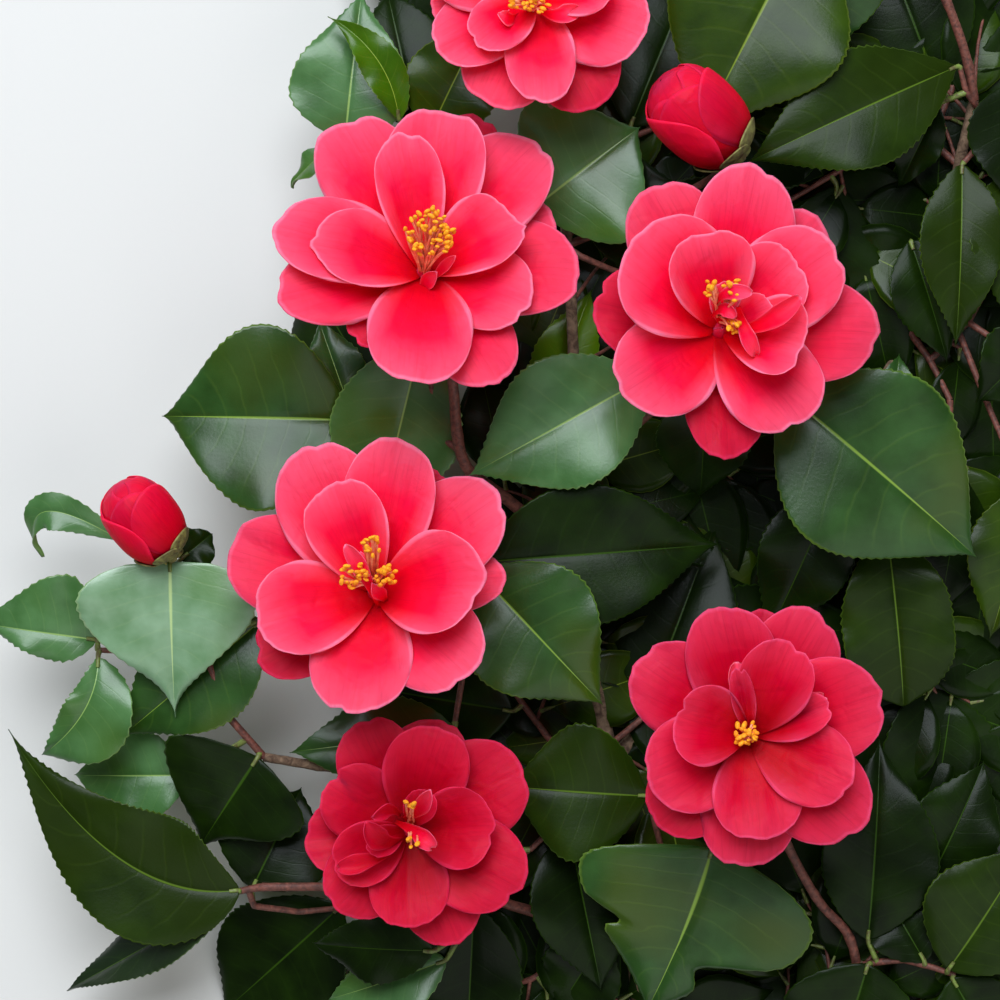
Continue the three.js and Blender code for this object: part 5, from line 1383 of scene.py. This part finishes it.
def makeStemTree():
    tree = startTree(
        "stemsOnPaths",
        {
            "ringSpacing": "Float",
            "sides": "Int",
            "relief": "Float",
            "reliefSize": "Float",
            "skin": "Material",
        },
    )
    given = addNode(tree, "NodeGroupInput")
    curve = addNode(tree, "GeometryNodeMeshToCurve", {0: given.outputs["Geometry"]})
    spaced = addNode(
        tree,
        "GeometryNodeResampleCurve",
        {"Curve": curve.outputs[0], "Length": given.outputs["ringSpacing"]},
        mode="LENGTH",
    )
    ring = addNode(
        tree, "GeometryNodeCurvePrimitiveCircle", {"Resolution": given.outputs["sides"], "Radius": mm}
    )
    thick = addNode(tree, "GeometryNodeInputNamedAttribute", {"Name": "thick"}, data_type="FLOAT")
    tube = addNode(
        tree,
        "GeometryNodeCurveToMesh",
        {
            "Curve": spaced.outputs[0],
            "Profile Curve": ring.outputs[0],
            "Scale": thick.outputs[0],
            "Fill Caps": True,
        },
    )
    place = addNode(tree, "GeometryNodeInputPosition")
    size = addNode(tree, "ShaderNodeMath", {0: 1.0, 1: given.outputs["reliefSize"]}, operation="DIVIDE")
    noise = addNode(
        tree, "ShaderNodeTexNoise", {"Vector": place.outputs[0], "Scale": size.outputs[0], "Detail": 3.0}
    )
    lift = addNode(tree, "ShaderNodeMath", {0: noise.outputs[0], 1: 0.5}, operation="SUBTRACT")
    amount = addNode(
        tree, "ShaderNodeMath", {0: lift.outputs[0], 1: given.outputs["relief"]}, operation="MULTIPLY"
    )
    normal = addNode(tree, "GeometryNodeInputNormal")
    push = addNode(
        tree, "ShaderNodeVectorMath", {0: normal.outputs[0], "Scale": amount.outputs[0]}, operation="SCALE"
    )
    rough = addNode(tree, "GeometryNodeSetPosition", {"Geometry": tube.outputs[0], "Offset": push.outputs[0]})
    smooth = addNode(tree, "GeometryNodeSetShadeSmooth", {"Geometry": rough.outputs[0], "Shade Smooth": True})
    real = addNode(tree, "GeometryNodeRealizeInstances", {"Geometry": smooth.outputs[0]})
    skin = addNode(
        tree, "GeometryNodeSetMaterial", {"Geometry": real.outputs[0], "Material": given.outputs["skin"]}
    )
    addNode(tree, "NodeGroupOutput", {0: skin.outputs[0]})
    return tree


def makeStamenTree():
    tree = startTree(
        "stamens",
        {
            "threadRadius": "Float",
            "antherRadius": "Float",
            "antherStretch": "Float",
            "seed": "Int",
            "threadSkin": "Material",
            "antherSkin": "Material",
        },
    )
    given = addNode(tree, "NodeGroupInput")
    curve = addNode(tree, "GeometryNodeMeshToCurve", {0: given.outputs["Geometry"]})
    ring = addNode(
        tree, "GeometryNodeCurvePrimitiveCircle", {"Resolution": 6, "Radius": given.outputs["threadRadius"]}
    )
    thread = addNode(
        tree,
        "GeometryNodeCurveToMesh",
        {"Curve": curve.outputs[0], "Profile Curve": ring.outputs[0], "Fill Caps": True},
    )
    sac = addNode(
        tree, "GeometryNodeMeshIcoSphere", {"Radius": given.outputs["antherRadius"], "Subdivisions": 2}
    )
    stretch = addNode(tree, "ShaderNodeCombineXYZ", {0: 1.0, 1: 0.75, 2: given.outputs["antherStretch"]})
    longSac = addNode(
        tree, "GeometryNodeTransform", {"Geometry": sac.outputs[0], "Scale": stretch.outputs[0]}
    )
    # the sacs are marked, so that they can take their own material at the end
    marked = addNode(
        tree,
        "GeometryNodeStoreNamedAttribute",
        {"Geometry": longSac.outputs[0], "Name": "sac", "Value": True},
        data_type="BOOLEAN",
        domain="FACE",
    )
    ends = addNode(tree, "GeometryNodeCurveEndpointSelection", {"Start Size": 0, "End Size": 1})
    tangent = addNode(tree, "GeometryNodeInputTangent")
    tilt = addNode(
        tree,
        "FunctionNodeRandomValue",
        {0: (-0.8, -0.8, -0.8), 1: (0.8, 0.8, 0.8), "Seed": given.outputs["seed"]},
        data_type="FLOAT_VECTOR",
    )
    leaning = addNode(
        tree, "ShaderNodeVectorMath", {0: tangent.outputs[0], 1: tilt.outputs[0]}, operation="ADD"
    )
    facing = addNode(tree, "FunctionNodeAlignRotationToVector", {"Vector": leaning.outputs[0]}, axis="Z")
    grown = addNode(
        tree,
        "FunctionNodeRandomValue",
        {2: 0.8, 3: 1.2, "Seed": given.outputs["seed"]},
        data_type="FLOAT",
    )
    sacs = addNode(
        tree,
        "GeometryNodeInstanceOnPoints",
        {
            "Points": curve.outputs[0],
            "Selection": ends.outputs[0],
            "Instance": marked.outputs[0],
            "Rotation": facing.outputs[0],
            "Scale": grown.outputs[1],
        },
    )
    both = addNode(tree, "GeometryNodeJoinGeometry")
    tree.links.new(thread.outputs[0], both.inputs[0])
    tree.links.new(sacs.outputs[0], both.inputs[0])
    smooth = addNode(tree, "GeometryNodeSetShadeSmooth", {"Geometry": both.outputs[0], "Shade Smooth": True})
    real = addNode(tree, "GeometryNodeRealizeInstances", {"Geometry": smooth.outputs[0]})
    threaded = addNode(
        tree,
        "GeometryNodeSetMaterial",
        {"Geometry": real.outputs[0], "Material": given.outputs["threadSkin"]},
    )
    isSac = addNode(tree, "GeometryNodeInputNamedAttribute", {"Name": "sac"}, data_type="BOOLEAN")
    powdered = addNode(
        tree,
        "GeometryNodeSetMaterial",
        {
            "Geometry": threaded.outputs[0],
            "Selection": isSac.outputs[0],
            "Material": given.outputs["antherSkin"],
        },
    )
    addNode(tree, "NodeGroupOutput", {0: powdered.outputs[0]})
    return tree


def bakeNodes(name, mesh, tree, settings):
    # the tree's result becomes a plain mesh at the origin
    carrier = bpy.data.objects.new(name + "Paths", mesh)
    scene.collection.objects.link(carrier)
    modifier = carrier.modifiers.new("nodes", "NODES")
    modifier.node_group = tree
    ids = {item.name: item.identifier for item in tree.interface.items_tree if item.in_out == "INPUT"}
    for key, value in settings.items():
        modifier[ids[key]] = value
    graph = bpy.context.evaluated_depsgraph_get()
    done = bpy.data.meshes.new_from_object(carrier.evaluated_get(graph), depsgraph=graph)
    carrier.modifiers.remove(modifier)
    bpy.data.objects.remove(carrier)
    done.name = name
    piece = bpy.data.objects.new(name, done)
    scene.collection.objects.link(piece)
    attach(piece, "root")
    return piece


def pathMesh(name, paths):
    # paths are (points in mm, thickness of each in mm) pairs, one open chain each
    points, thick, edges, count = [], [], [], 0
    for line, radii in paths:
        points.append(np.asarray(line) * mm)
        thick.append(np.asarray(radii))
        edges += [(count + i, count + i + 1) for i in range(len(line) - 1)]
        count += len(line)
    mesh = bpy.data.meshes.new(name)
    mesh.from_pydata(np.concatenate(points).tolist(), edges, [])
    layer = mesh.attributes.new("thick", "FLOAT", "POINT")
    layer.data.foreach_set("value", np.concatenate(thick).astype(np.float32))
    return mesh


stemTree = makeStemTree()
stamenTree = makeStamenTree()


# Limbs: the trunk piece and its boughs in old bark, the shoots in young bark
bark = {"ringSpacing": 1.6, "sides": 14, "relief": 0.9, "reliefSize": 3.2, "nodeSwell": 0.22, "nodeGap": 26}
oldLimbs = ["main_stem", "bough_right", "bough_low_right", "bough_top", "bough_left", "bough_middle_left"]


def limbPath(limb):
    points = [spot(place) for place in limb["path"]]
    t = np.linspace(0, 1, 60)
    line = along(points, t)
    run = np.concatenate([[0], np.cumsum(np.linalg.norm(np.diff(line, axis=0), axis=1))])
    radius = limb["radii"][0] + (limb["radii"][1] - limb["radii"][0]) * t
    # old leaf nodes swell the limb a little
    swell = np.exp(-(((run % bark["nodeGap"]) - bark["nodeGap"] / 2) / 1.8) ** 2)
    return line, radius * (0.96 + bark["nodeSwell"] * swell * 0.6)


def makeLimbs(name, names, skin, relief):
    paths = [limbPath(limbs[limb]) for limb in names]
    settings = {
        "ringSpacing": bark["ringSpacing"] * mm,
        "sides": bark["sides"],
        "relief": relief * mm,
        "reliefSize": bark["reliefSize"] * mm,
        "skin": plainMaterials[skin],
    }
    piece = bakeNodes(name, pathMesh(name, paths), stemTree, settings)
    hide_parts(*names)


makeLimbs("barked_limbs", oldLimbs, "fissuredBark", bark["relief"])
makeLimbs("young_limbs", [name for name in limbs if name not in oldLimbs], "youngBark", bark["relief"] * 0.5)
print("limbs made")

# Leaves of every mass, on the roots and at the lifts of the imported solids
twigPaths = []
stalkPaths = []
mass = {
    "radius": 1.3, "stemShares": (1.15, 0.9), "twigShares": (1.0, 0.8), "seedStart": 1000,
    "massStep": 37, "sprayStep": 11,
}


def addStalk(lines, plan):
    root = rootOn(lines, plan["base"])
    start = midrib(plan, [0.0, 0.05])
    into = unit(start[1] - start[0])
    knots = [root, (root + plan["base"]) / 2 + up * 0.6, plan["base"], plan["base"] + into * 4]
    stalkPaths.append((along(knots, np.linspace(0, 1, 9)), np.linspace(1.25, 0.75, 9)))


skipped = 0
for index, (name, grown) in enumerate(masses.items()):
    sprays = grown.get("sprays", [])
    lines = [grown["stem"]] + grown.get("twigs", []) + [spray["line"] for spray in sprays]
    lines = [[spot(place) for place in line] for line in lines]
    for i, line in enumerate(lines):
        shares = mass["stemShares"] if i == 0 else mass["twigShares"]
        twigPaths.append((np.array(line), np.linspace(*shares, len(line)) * mass["radius"]))
    solid = nodeTree(name)
    pile = newPile()
    for number, leaf in enumerate(grown.get("leaves", [])):
        for lift in liftTries:
            plan = leafPlan(leaf, lift)
            if standsIn(solid, plan["tip"]):
                addLeaf(pile, plan, 300 + 17 * index + number, blade["columns"])
                addStalk(lines, plan)
                break
        else:
            skipped += 1
    for number, spray in enumerate(sprays):
        seed = mass["seedStart"] + mass["massStep"] * index + mass["sprayStep"] * number
        for order, sprayed in enumerate(sprayLeaves(spray, seed)):
            tries = [(turn, lift) for turn in sprayTurns for lift in sprayLifts]
            for turn, lift in tries:
                plan = leafPlan(turnedLeaf(sprayed, turn), lift)
                if standsIn(solid, plan["tip"]):
                    addLeaf(pile, plan, seed + order, blade["columns"])
                    addStalk(lines, plan)
                    break
            else:
                skipped += 1
    piece = makePiece(name + "_blades", pile, leafMaterials)
    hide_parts(name)
print("leaf masses made, leaves without a solid:", skipped)

# Blooms: petals, a green calyx behind them, stamens on their threads
flower = {
    "deepBelow": 8.2,  # petals that rise less than this are in the shade
    "roseBelow": 14,
    "dishRadius": 9,
    "foot": [[0, 1], [0.35, 0.95], [0.75, 0.55], [1, 0.02]],
    "footRadius": 3.4,
    "footLength": 8.5,
    "footThickness": 0.8,
    # the dish and foot at the heart take a darker tint: painted shade in the hollow
    "hollowShadeTint": "cherry",
    "calyxScales": 6,
    "calyxRadius": 9,
    "calyxLength": 12,
    "calyxDrop": 8,  # mm from the heart down to the foot of the calyx
    "neckDrop": 7,
    "neckRadii": [1.9, 2.1, 2.6],
    "calyxCup": [[-0.1, 0.2], [0.1, 0.75], [0.45, 1.0], [1, 1.12]],
    "calyxRings": [(0.72, 0.4), (1.0, -0.1)],  # where the scales of a ring end, and how far out they stand
    "scaleThickness": 0.5,
    "threadRadius": 0.42,
    "antherRadius": 0.9,
    "antherStretch": 1.6,
    "seed": 7,
}
# small blades in the middle of the blooms, placed as leaves are
petaloids = {
    "bloom_upper_left": [
        {"at": [420, 292, 96], "to": [436, 272, 108], "wide": 22, "curl": 1.0, "tint": "rose"},
        {"at": [430, 282, 98], "to": [455, 256, 110], "wide": 16, "curl": 1.2},
    ],
    "bloom_upper_right": [
        {"at": [716, 304, 108], "via": [722, 288, 122], "to": [752, 293, 120], "wide": 20, "curl": 0.5},
        {"at": [738, 306, 102], "via": [742, 330, 118], "to": [756, 354, 108], "wide": 24, "curl": 1.2},
        {
            "at": [712, 318, 102], "via": [724, 300, 116], "to": [735, 318, 116], "wide": 20,
            "curl": 1.0, "tint": "rose",
        },
        {
            "at": [726, 330, 98], "via": [770, 332, 114], "to": [800, 296, 114], "wide": 30,
            "curl": 1.2, "tint": "rose",
        },
    ],
    "bloom_middle_left": [
        {"at": [378, 606, 94], "via": [366, 572, 112], "to": [345, 545, 116], "wide": 22, "curl": 0.7},
        {"at": [386, 600, 94], "to": [372, 584, 106], "wide": 22, "curl": 1.2, "tint": "rose"},
    ],
    "bloom_lower_left": [
        {
            "at": [404, 818, 88], "via": [424, 812, 112], "to": [430, 790, 116], "wide": 24,
            "curl": 1.1, "tint": "rose",
        },
        {
            "at": [396, 822, 88], "via": [424, 834, 108], "to": [432, 848, 104], "wide": 26,
            "curl": 1.0, "tint": "rose",
        },
        {
            "at": [404, 838, 86], "via": [376, 850, 106], "to": [366, 822, 110], "wide": 34,
            "curl": 1.1, "tint": "deep",
        },
        {
            "at": [400, 816, 88], "via": [390, 802, 104], "to": [372, 818, 108], "wide": 22,
            "curl": 1.1, "tint": "deep",
        },
        {
            "at": [396, 850, 90], "via": [366, 862, 102], "to": [338, 868, 98], "wide": 26, "curl": 0.8,
            "tint": "deep",
        },
    ],
    "bloom_lower_right": [
        {"at": [742, 714, 92], "via": [738, 690, 107], "to": [736, 662, 107], "wide": 24, "curl": 0.6},
        {"at": [778, 716, 92], "via": [806, 712, 106], "to": [824, 696, 102], "wide": 30, "curl": 0.9},
    ],
    "bloom_top": [
        {"at": [540, 10, 96], "via": [560, 22, 108], "to": [578, 8, 104], "wide": 26, "curl": 1.0},
        {"at": [520, 14, 96], "via": [505, 26, 106], "to": [500, 12, 106], "wide": 24, "curl": 1.0},
        {"at": [500, 22, 94], "via": [488, 34, 104], "to": [474, 36, 102], "wide": 36, "curl": 0.8},
    ],
}
# groups of anthers: middle across and down, half spread, height in mm, how many
stamens = {
    "bloom_upper_left": {"root": [423, 272, 100], "groups": [[430, 232, 25, 25, 122, 58]]},
    "bloom_upper_right": {
        "root": [722, 316, 100],
        "groups": [[710, 288, 7, 9, 119, 10], [733, 291, 9, 13, 120, 14], [735, 326, 8, 7, 116, 9]],
    },
    "bloom_middle_left": {
        "root": [377, 586, 94],
        "groups": [[353, 575, 14, 13, 114, 24], [371, 546, 9, 11, 115, 14], [385, 575, 11, 12, 113, 22]],
    },
    "bloom_lower_left": {
        "root": [409, 824, 86], "groups": [[410, 804, 6, 4, 116, 8], [412, 842, 6, 5, 110, 4]],
    },
    "bloom_lower_right": {"root": [749, 735, 94], "groups": [[747, 733, 13, 12, 103, 24]]},
    "bloom_top": {"root": [530, 6, 96], "groups": [[529, 5, 23, 9, 113, 26]]},
}


stamenRule = {
    "heightSpread": 2.5,  # mm up or down from the height of a group
    "rimDrop": 3,  # mm that the outer ones stand lower
    "footSpread": 1.4,
    "bendSpread": 0.8,
    "bend": 2.2,  # mm that a thread bows out of a straight line
    "points": 9,
}


def around(dice, spread):
    return np.array([dice(-spread, spread), dice(-spread, spread), 0])


def stamenPaths(name, dice):
    paths = []
    axis = bloomAxes(blooms[name])["axis"]
    root = spot(stamens[name]["root"])
    for across, down, wide, tall, height, count in stamens[name]["groups"]:
        for _ in range(count):
            angle, share = dice(0, 6.283), math.sqrt(dice(0, 1))
            tip = spot(
                [
                    across + wide * share * math.cos(angle),
                    down - tall * share * math.sin(angle),
                    height
                    + dice(-stamenRule["heightSpread"], stamenRule["heightSpread"])
                    - stamenRule["rimDrop"] * share,
                ]
            )
            foot = root + (tip - root) * [0.12, 0.12, 0] + around(dice, stamenRule["footSpread"])
            bend = foot * 0.45 + tip * 0.55 + axis * stamenRule["bend"]
            bend = bend + around(dice, stamenRule["bendSpread"])
            line = along([foot, bend, tip], np.linspace(0, 1, stamenRule["points"]))
            paths.append((line, np.ones(stamenRule["points"])))
    return paths


for index, (name, bloom) in enumerate(blooms.items()):
    axes = bloomAxes(bloom)
    pile = newPile()
    for number, (turn, reach, wide, rise, *own) in enumerate(bloom["petals"]):
        shape = {"turn": turn, "reach": reach, "wide": wide, "rise": rise}
        shape.update(*own)
        if "tint" not in shape:
            # the back petals stand in the shade of the others and are the deepest
            shape["tint"] = bloom.get("tint", "coral")
            if shape["rise"] < flower["deepBelow"]:
                shape["tint"] = "deep"
            elif shape["rise"] < flower["roseBelow"] and shape["tint"] == "coral":
                shape["tint"] = "rose"
        addPetal(pile, axes, bloom, shape, 90 + 31 * index + number)
    for number, small in enumerate(petaloids[name]):
        addPetaloid(pile, small, 700 + 31 * index + number)
    # the claws of the petals join in a shallow dish, and the fused foot of the stamens closes its middle
    ways = np.linspace(0, math.tau, 33)[None]
    reach = np.linspace(0.3, flower["dishRadius"], 6)[:, None] + 0 * ways
    dish = onBowl(axes, reach, ways + 0 * reach, bowl(reach, 1.0) - 0.6)
    flat = np.stack([reach * 0 + 0.5, reach * 0 + 0.05], axis=-1)
    # the dish and the foot get the darker tint, painted shade
    hollowShade = petalNames.index(flower["hollowShadeTint"])
    addSheet(pile, dish, dish - axes["axis"] * flower["footThickness"], flat, hollowShade, hollowShade)
    footCore = {
        "start": axes["heart"] - axes["axis"],
        "axis": axes["axis"],
        "profile": flower["foot"],
        "length": flower["footLength"],
        "radius": flower["footRadius"],
    }
    footWrap = {
        "turn": 0, "halfSpan": math.pi, "from": 0, "to": 1, "out": 0, "tilt": 0,
        "tint": hollowShade, "thick": flower["footThickness"], "rows": 10, "columns": 25,
    }
    wrapShell(pile, footCore, footWrap)
    piece = makePiece(name + "_petals", pile, petalMaterials)
    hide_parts(name)
    calyx = newPile()
    calyxCore = {
        "start": axes["heart"] - axes["axis"] * flower["calyxDrop"],
        "axis": axes["axis"],
        "profile": smoothProfile(flower["calyxCup"]),
        "length": flower["calyxLength"],
        "radius": flower["calyxRadius"],
    }
    for ring, (end, out) in enumerate(flower["calyxRings"]):
        for i in range(flower["calyxScales"]):
            turn = (i + 0.5 * ring) * math.tau / flower["calyxScales"]
            scale = {
                "turn": turn, "halfSpan": 0.62, "from": -0.08, "to": end, "out": out, "tilt": 0.35,
                "tint": 0, "thick": flower["scaleThickness"], "rows": 12, "columns": 13,
            }
            wrapShell(calyx, calyxCore, scale)
    makePiece(name + "_calyx", calyx, [plainMaterials["budScale"]])
    dice = chance(flower["seed"] + 100 * index)
    settings = {
        "threadRadius": flower["threadRadius"] * mm,
        "antherRadius": flower["antherRadius"] * mm,
        "antherStretch": flower["antherStretch"],
        "seed": flower["seed"] + index,
        "threadSkin": plainMaterials["filament"],
        "antherSkin": plainMaterials["anther"],
    }
    threads = pathMesh(name, stamenPaths(name, dice))
    bakeNodes(name + "_stamens", threads, stamenTree, settings)
    tip = spot(limbs[bloom["on"]]["path"][-1])
    neck = axes["heart"] - axes["axis"] * flower["neckDrop"]
    twigPaths.append((np.array([tip, (tip + neck) / 2, neck]), np.array(flower["neckRadii"])))
print("blooms made")

# Buds: petals still wrapped round each other, sepals holding them
budShape = [
    [0.0, 0.3], [0.1, 0.68], [0.28, 0.93], [0.5, 1.0], [0.7, 0.97], [0.84, 0.86], [0.94, 0.62],
    [0.985, 0.3], [1.0, 0.02],
]
wrapping = {
    # how many, where they end as a share of the bud, how far out they stand in mm, half span
    "layers": [[3, 0.97, -1.1, 1.25], [3, 0.93, -0.6, 1.2], [3, 0.84, 0.0, 1.15]],
    "sepals": 7,
    "sepalCup": [[0, 0.25], [0.06, 0.62], [0.2, 0.9], [0.36, 1.02], [0.5, 1.05]],
    "sepalTurn": 2.4,  # the golden angle, from scale to scale
    "petalThickness": 0.5,
    "sepalThickness": 0.7,
}

furled = petalNames.index("furled")
for index, (name, bud) in enumerate(buds.items()):
    start, end = spot(bud["from"]), spot(bud["to"])
    axis = unit(end - start)
    length = np.linalg.norm(end - start)
    core = {"start": start, "axis": axis, "length": length, "radius": bud["radius"]}
    pile = newPile()
    dice = chance(50 + 9 * index)
    # the innermost petal is a whole round, the others overlap like tiles and fold over the tip
    budCore = {**core, "profile": smoothProfile(budShape)}
    inmost = {
        "turn": 0, "halfSpan": math.pi, "from": 0.05, "to": 0.995, "out": -1.7, "tilt": 0,
        "tint": furled, "thick": wrapping["petalThickness"], "rows": 30, "columns": 41,
    }
    wrapShell(pile, budCore, inmost)
    for layer, (count, tip, out, span) in enumerate(wrapping["layers"]):
        for i in range(count):
            wrapped = {
                "turn": (i + layer * 0.37) * math.tau / count + dice(-0.25, 0.25),
                "halfSpan": span + dice(-0.1, 0.1),
                "from": 0.03, "to": tip + dice(-0.05, 0.02), "out": out, "tilt": 0.42,
                "tint": furled, "thick": wrapping["petalThickness"], "rows": 26, "columns": 29,
            }
            wrapShell(pile, budCore, wrapped)
    piece = makePiece(name + "_petals", pile, petalMaterials)
    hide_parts(name)
    scales = newPile()
    sepalCore = {**core, "profile": smoothProfile(wrapping["sepalCup"])}
    for i in range(wrapping["sepals"]):
        sepal = {
            "turn": i * wrapping["sepalTurn"], "halfSpan": 0.66, "from": -0.04, "to": 0.13 + 0.018 * i,
            "out": 0.2 + 0.12 * (wrapping["sepals"] - i) * 0.4, "tilt": 0.3,
            "tint": 0, "thick": wrapping["sepalThickness"], "rows": 12, "columns": 15,
        }
        wrapShell(scales, sepalCore, sepal)
    makePiece(name + "_sepals", scales, [plainMaterials["budScale"]])
print("buds made")


# Finer twigs: the sprays' own rule carried one step further, inside the same reach
fine = {
    "twigLength": (26, 42),
    "twigTurn": (0.5, 1.3),  # radians from the limb
    "twigDrop": (2, 8),
    "twigSteps": 4,
    "limbSpacing": 11,  # mm between the fine twigs that stand on a limb
    "leafLength": (40, 66),
    "leafTurn": (0.6, 1.25),  # radians from the twig
    "leafDrop": (0, 9),
    "leafWidth": (0.5, 0.62),  # shares of its length
    "leavesPerTwig": 5,
    "leafColumns": [0, 0.35, 0.75, 1.0],
    # dark here is painted shade: these leaves lie deep under the others
    "tints": ["dark", "dark", "dark", "olive"],
    "stalkLength": 4,
    "radius": 0.8,
    "seed": 41,
    "floorGap": 2,
    "low": 7,  # mm over the floor, where a twig may end
    "high": 23,
    "leafCeiling": 28,  # no leaf starts above this
    "ceiling": 45,
    "margin": 4,  # mm inside the reach of the solids
    "openAcross": 470,  # left of this pixel the photograph shows sky between the leaves
}
# limbs that bear fine twigs of their own, with the share of their length where the first stands
leafyLimbs = {
    "main_stem": 0.12, "bough_right": 0.1, "bough_low_right": 0.1, "bough_top": 0.1, "shoot_right": 0.6,
}
reachLow, reachHigh = np.array(cadBox[0]) / mm, np.array(cadBox[1]) / mm


def inReach(point):
    flat, margin = point[:2], fine["margin"]
    inside = np.all(flat > reachLow[:2] + margin) and np.all(flat < reachHigh[:2] - margin)
    return inside and point[2] < fine["ceiling"] and gridPlace(point)[0] > fine["openAcross"]


fineLines = []
for grown in masses.values():
    for spray in grown.get("sprays", []):
        fineLines.append(([spot(place) for place in spray["line"]], fine["twigSteps"], 0))
for name, first in leafyLimbs.items():
    line = [spot(place) for place in limbs[name]["path"]]
    long = sum(np.linalg.norm(b - a) for a, b in zip(line, line[1:]))
    fineLines.append((line, round(long / fine["limbSpacing"]), first))

finePile = newPile()
dice = chance(fine["seed"])
count = 0
for line, steps, first in fineLines:
    for step in range(steps):
        hand = 1 if step % 2 else -1
        t = first + (1 - first) * (step + 1) / steps
        foot = along(line, t)[0]
        run = (along(line, min(t + 0.05, 1)) - along(line, t - 0.05))[0]
        turn = math.atan2(run[1], run[0]) + hand * dice(*fine["twigTurn"]) * (t < 1)
        long = dice(*fine["twigLength"])
        heading = np.array([math.cos(turn), math.sin(turn), 0])
        level = min(max(foot[2] - dice(*fine["twigDrop"]), fine["low"]), fine["high"])
        end = foot + heading * long
        end[2] = level
        middle = (foot + end) / 2 + np.array([dice(-3, 3), dice(-3, 3), -1])
        twig = [foot, middle, end]
        if not inReach(end):
            continue
        reached = 0
        for i in range(fine["leavesPerTwig"]):
            share = (i + 1) / fine["leavesPerTwig"]
            root = along(twig, share)[0]
            side = 1 if i % 2 else -1
            spread = side * dice(*fine["leafTurn"]) if share < 1 else dice(-0.2, 0.2)
            size = dice(*fine["leafLength"])
            way = np.array([math.cos(turn + spread), math.sin(turn + spread), 0])
            base = root + way * fine["stalkLength"]
            tip = root + way * size
            tip[2] = max(root[2] - dice(*fine["leafDrop"]), fine["floorGap"])
            if not inReach(tip) or root[2] > fine["leafCeiling"]:
                continue
            leaf = {"tint": fine["tints"][int(dice(0, 3.99))]}
            side = unit(np.cross(up, way))
            plan = {
                "base": base,
                "tip": tip,
                "control": (base + tip) / 2 + up * size * 0.08,
                "across": unit(side + up * dice(-0.25, 0.25)),
                "width": size * dice(*fine["leafWidth"]),
                "leaf": leaf,
            }
            addLeaf(finePile, plan, 4000 + count, fine["leafColumns"], fine=False)
            stalk = np.array([root, (root + base) / 2, base + way * 2])
            stalkPaths.append((stalk, np.array([1.0, 0.8, 0.6])))
            count += 1
            reached = share
        # a twig ends at its last leaf
        if reached:
            drawn = along(twig, np.linspace(0, reached, 7))
            twigPaths.append((drawn, np.linspace(1, 0.6, 7) * fine["radius"]))
makePiece("fine_leaves", finePile, leafMaterials)
print("fine leaves made:", count)

twigs = {"ringSpacing": 2.2, "sides": 8, "relief": 0.25, "reliefSize": 2.0}
stalks = {"ringSpacing": 1.5, "sides": 6, "relief": 0.08, "reliefSize": 1.5}
for name, paths, shape, skin, slot in [
    ("fine_twigs", twigPaths, twigs, "youngBark", "bark"),
    ("leaf_stalks", stalkPaths, stalks, "greenStalk", "foliage"),
]:
    settings = {
        "ringSpacing": shape["ringSpacing"] * mm,
        "sides": shape["sides"],
        "relief": shape["relief"] * mm,
        "reliefSize": shape["reliefSize"] * mm,
        "skin": plainMaterials[skin],
    }
    bakeNodes(name, pathMesh(name, paths), stemTree, settings)
print("twigs and stalks made")

# Floor and light: plain pale paper, a wide soft light from the top of the frame
studio = {
    "floor": "#D2D0CB",
    "fibre": "#C2BFB9",
    "floorReach": 4,  # metres from the middle to each side
    "sky": "#DDE6EE",
    "skyStrength": 0.17,
    "keySize": 1.5,
    "keyPlace": (-0.3, 1.1, 1.75),
    "keyPower": 66,
    "keyColour": "#EFF6FF",
    "fillSize": 3.2,
    "fillPlace": (1.0, -1.8, 2.2),
    "fillPower": 34,
    "fillColour": "#FFFFFF",
}
paper, paperTree, paperShader = startMaterial("palePaperFloor", Roughness=0.9)
place = addNode(paperTree, "ShaderNodeTexCoord")
fibre = addNode(paperTree, "ShaderNodeTexNoise", {"Vector": place.outputs["Object"], "Scale": 400.0})
tone = addNode(paperTree, "ShaderNodeMapRange", {0: fibre.outputs[0], 1: 0.3, 2: 0.7, 3: 0.97, 4: 1.0})
shade = addNode(
    paperTree,
    "ShaderNodeMix",
    {0: tone.outputs[0], 6: linear(studio["fibre"]), 7: linear(studio["floor"])},
    data_type="RGBA",
)
paperTree.links.new(shade.outputs[2], paperShader.inputs["Base Color"])
floorMesh = bpy.data.meshes.new("floor")
wide = studio["floorReach"]
corners = [(-wide, -wide, 0), (wide, -wide, 0), (wide, wide, 0), (-wide, wide, 0)]
floorMesh.from_pydata(corners, [], [(0, 1, 2, 3)])
floorMesh.materials.append(paper)
floor = bpy.data.objects.new("floor", floorMesh)
scene.collection.objects.link(floor)

world = bpy.data.worlds.new("softRoom")
world.use_nodes = True
world.node_tree.nodes["Background"].inputs[0].default_value = linear(studio["sky"])
world.node_tree.nodes["Background"].inputs[1].default_value = studio["skyStrength"]
scene.world = world


def addLamp(name, size, place, power, colour):
    lamp = bpy.data.lights.new(name, "AREA")
    lamp.size = size
    lamp.energy = power
    lamp.color = linear(colour)[:3]
    holder = bpy.data.objects.new(name, lamp)
    holder.location = place
    aim = -np.array(place)
    holder.rotation_euler = (
        math.atan2(math.hypot(aim[0], aim[1]), -aim[2]),
        0,
        math.atan2(aim[1], aim[0]) - math.pi / 2,
    )
    scene.collection.objects.link(holder)


addLamp("key", studio["keySize"], studio["keyPlace"], studio["keyPower"], studio["keyColour"])
addLamp("fill", studio["fillSize"], studio["fillPlace"], studio["fillPower"], studio["fillColour"])
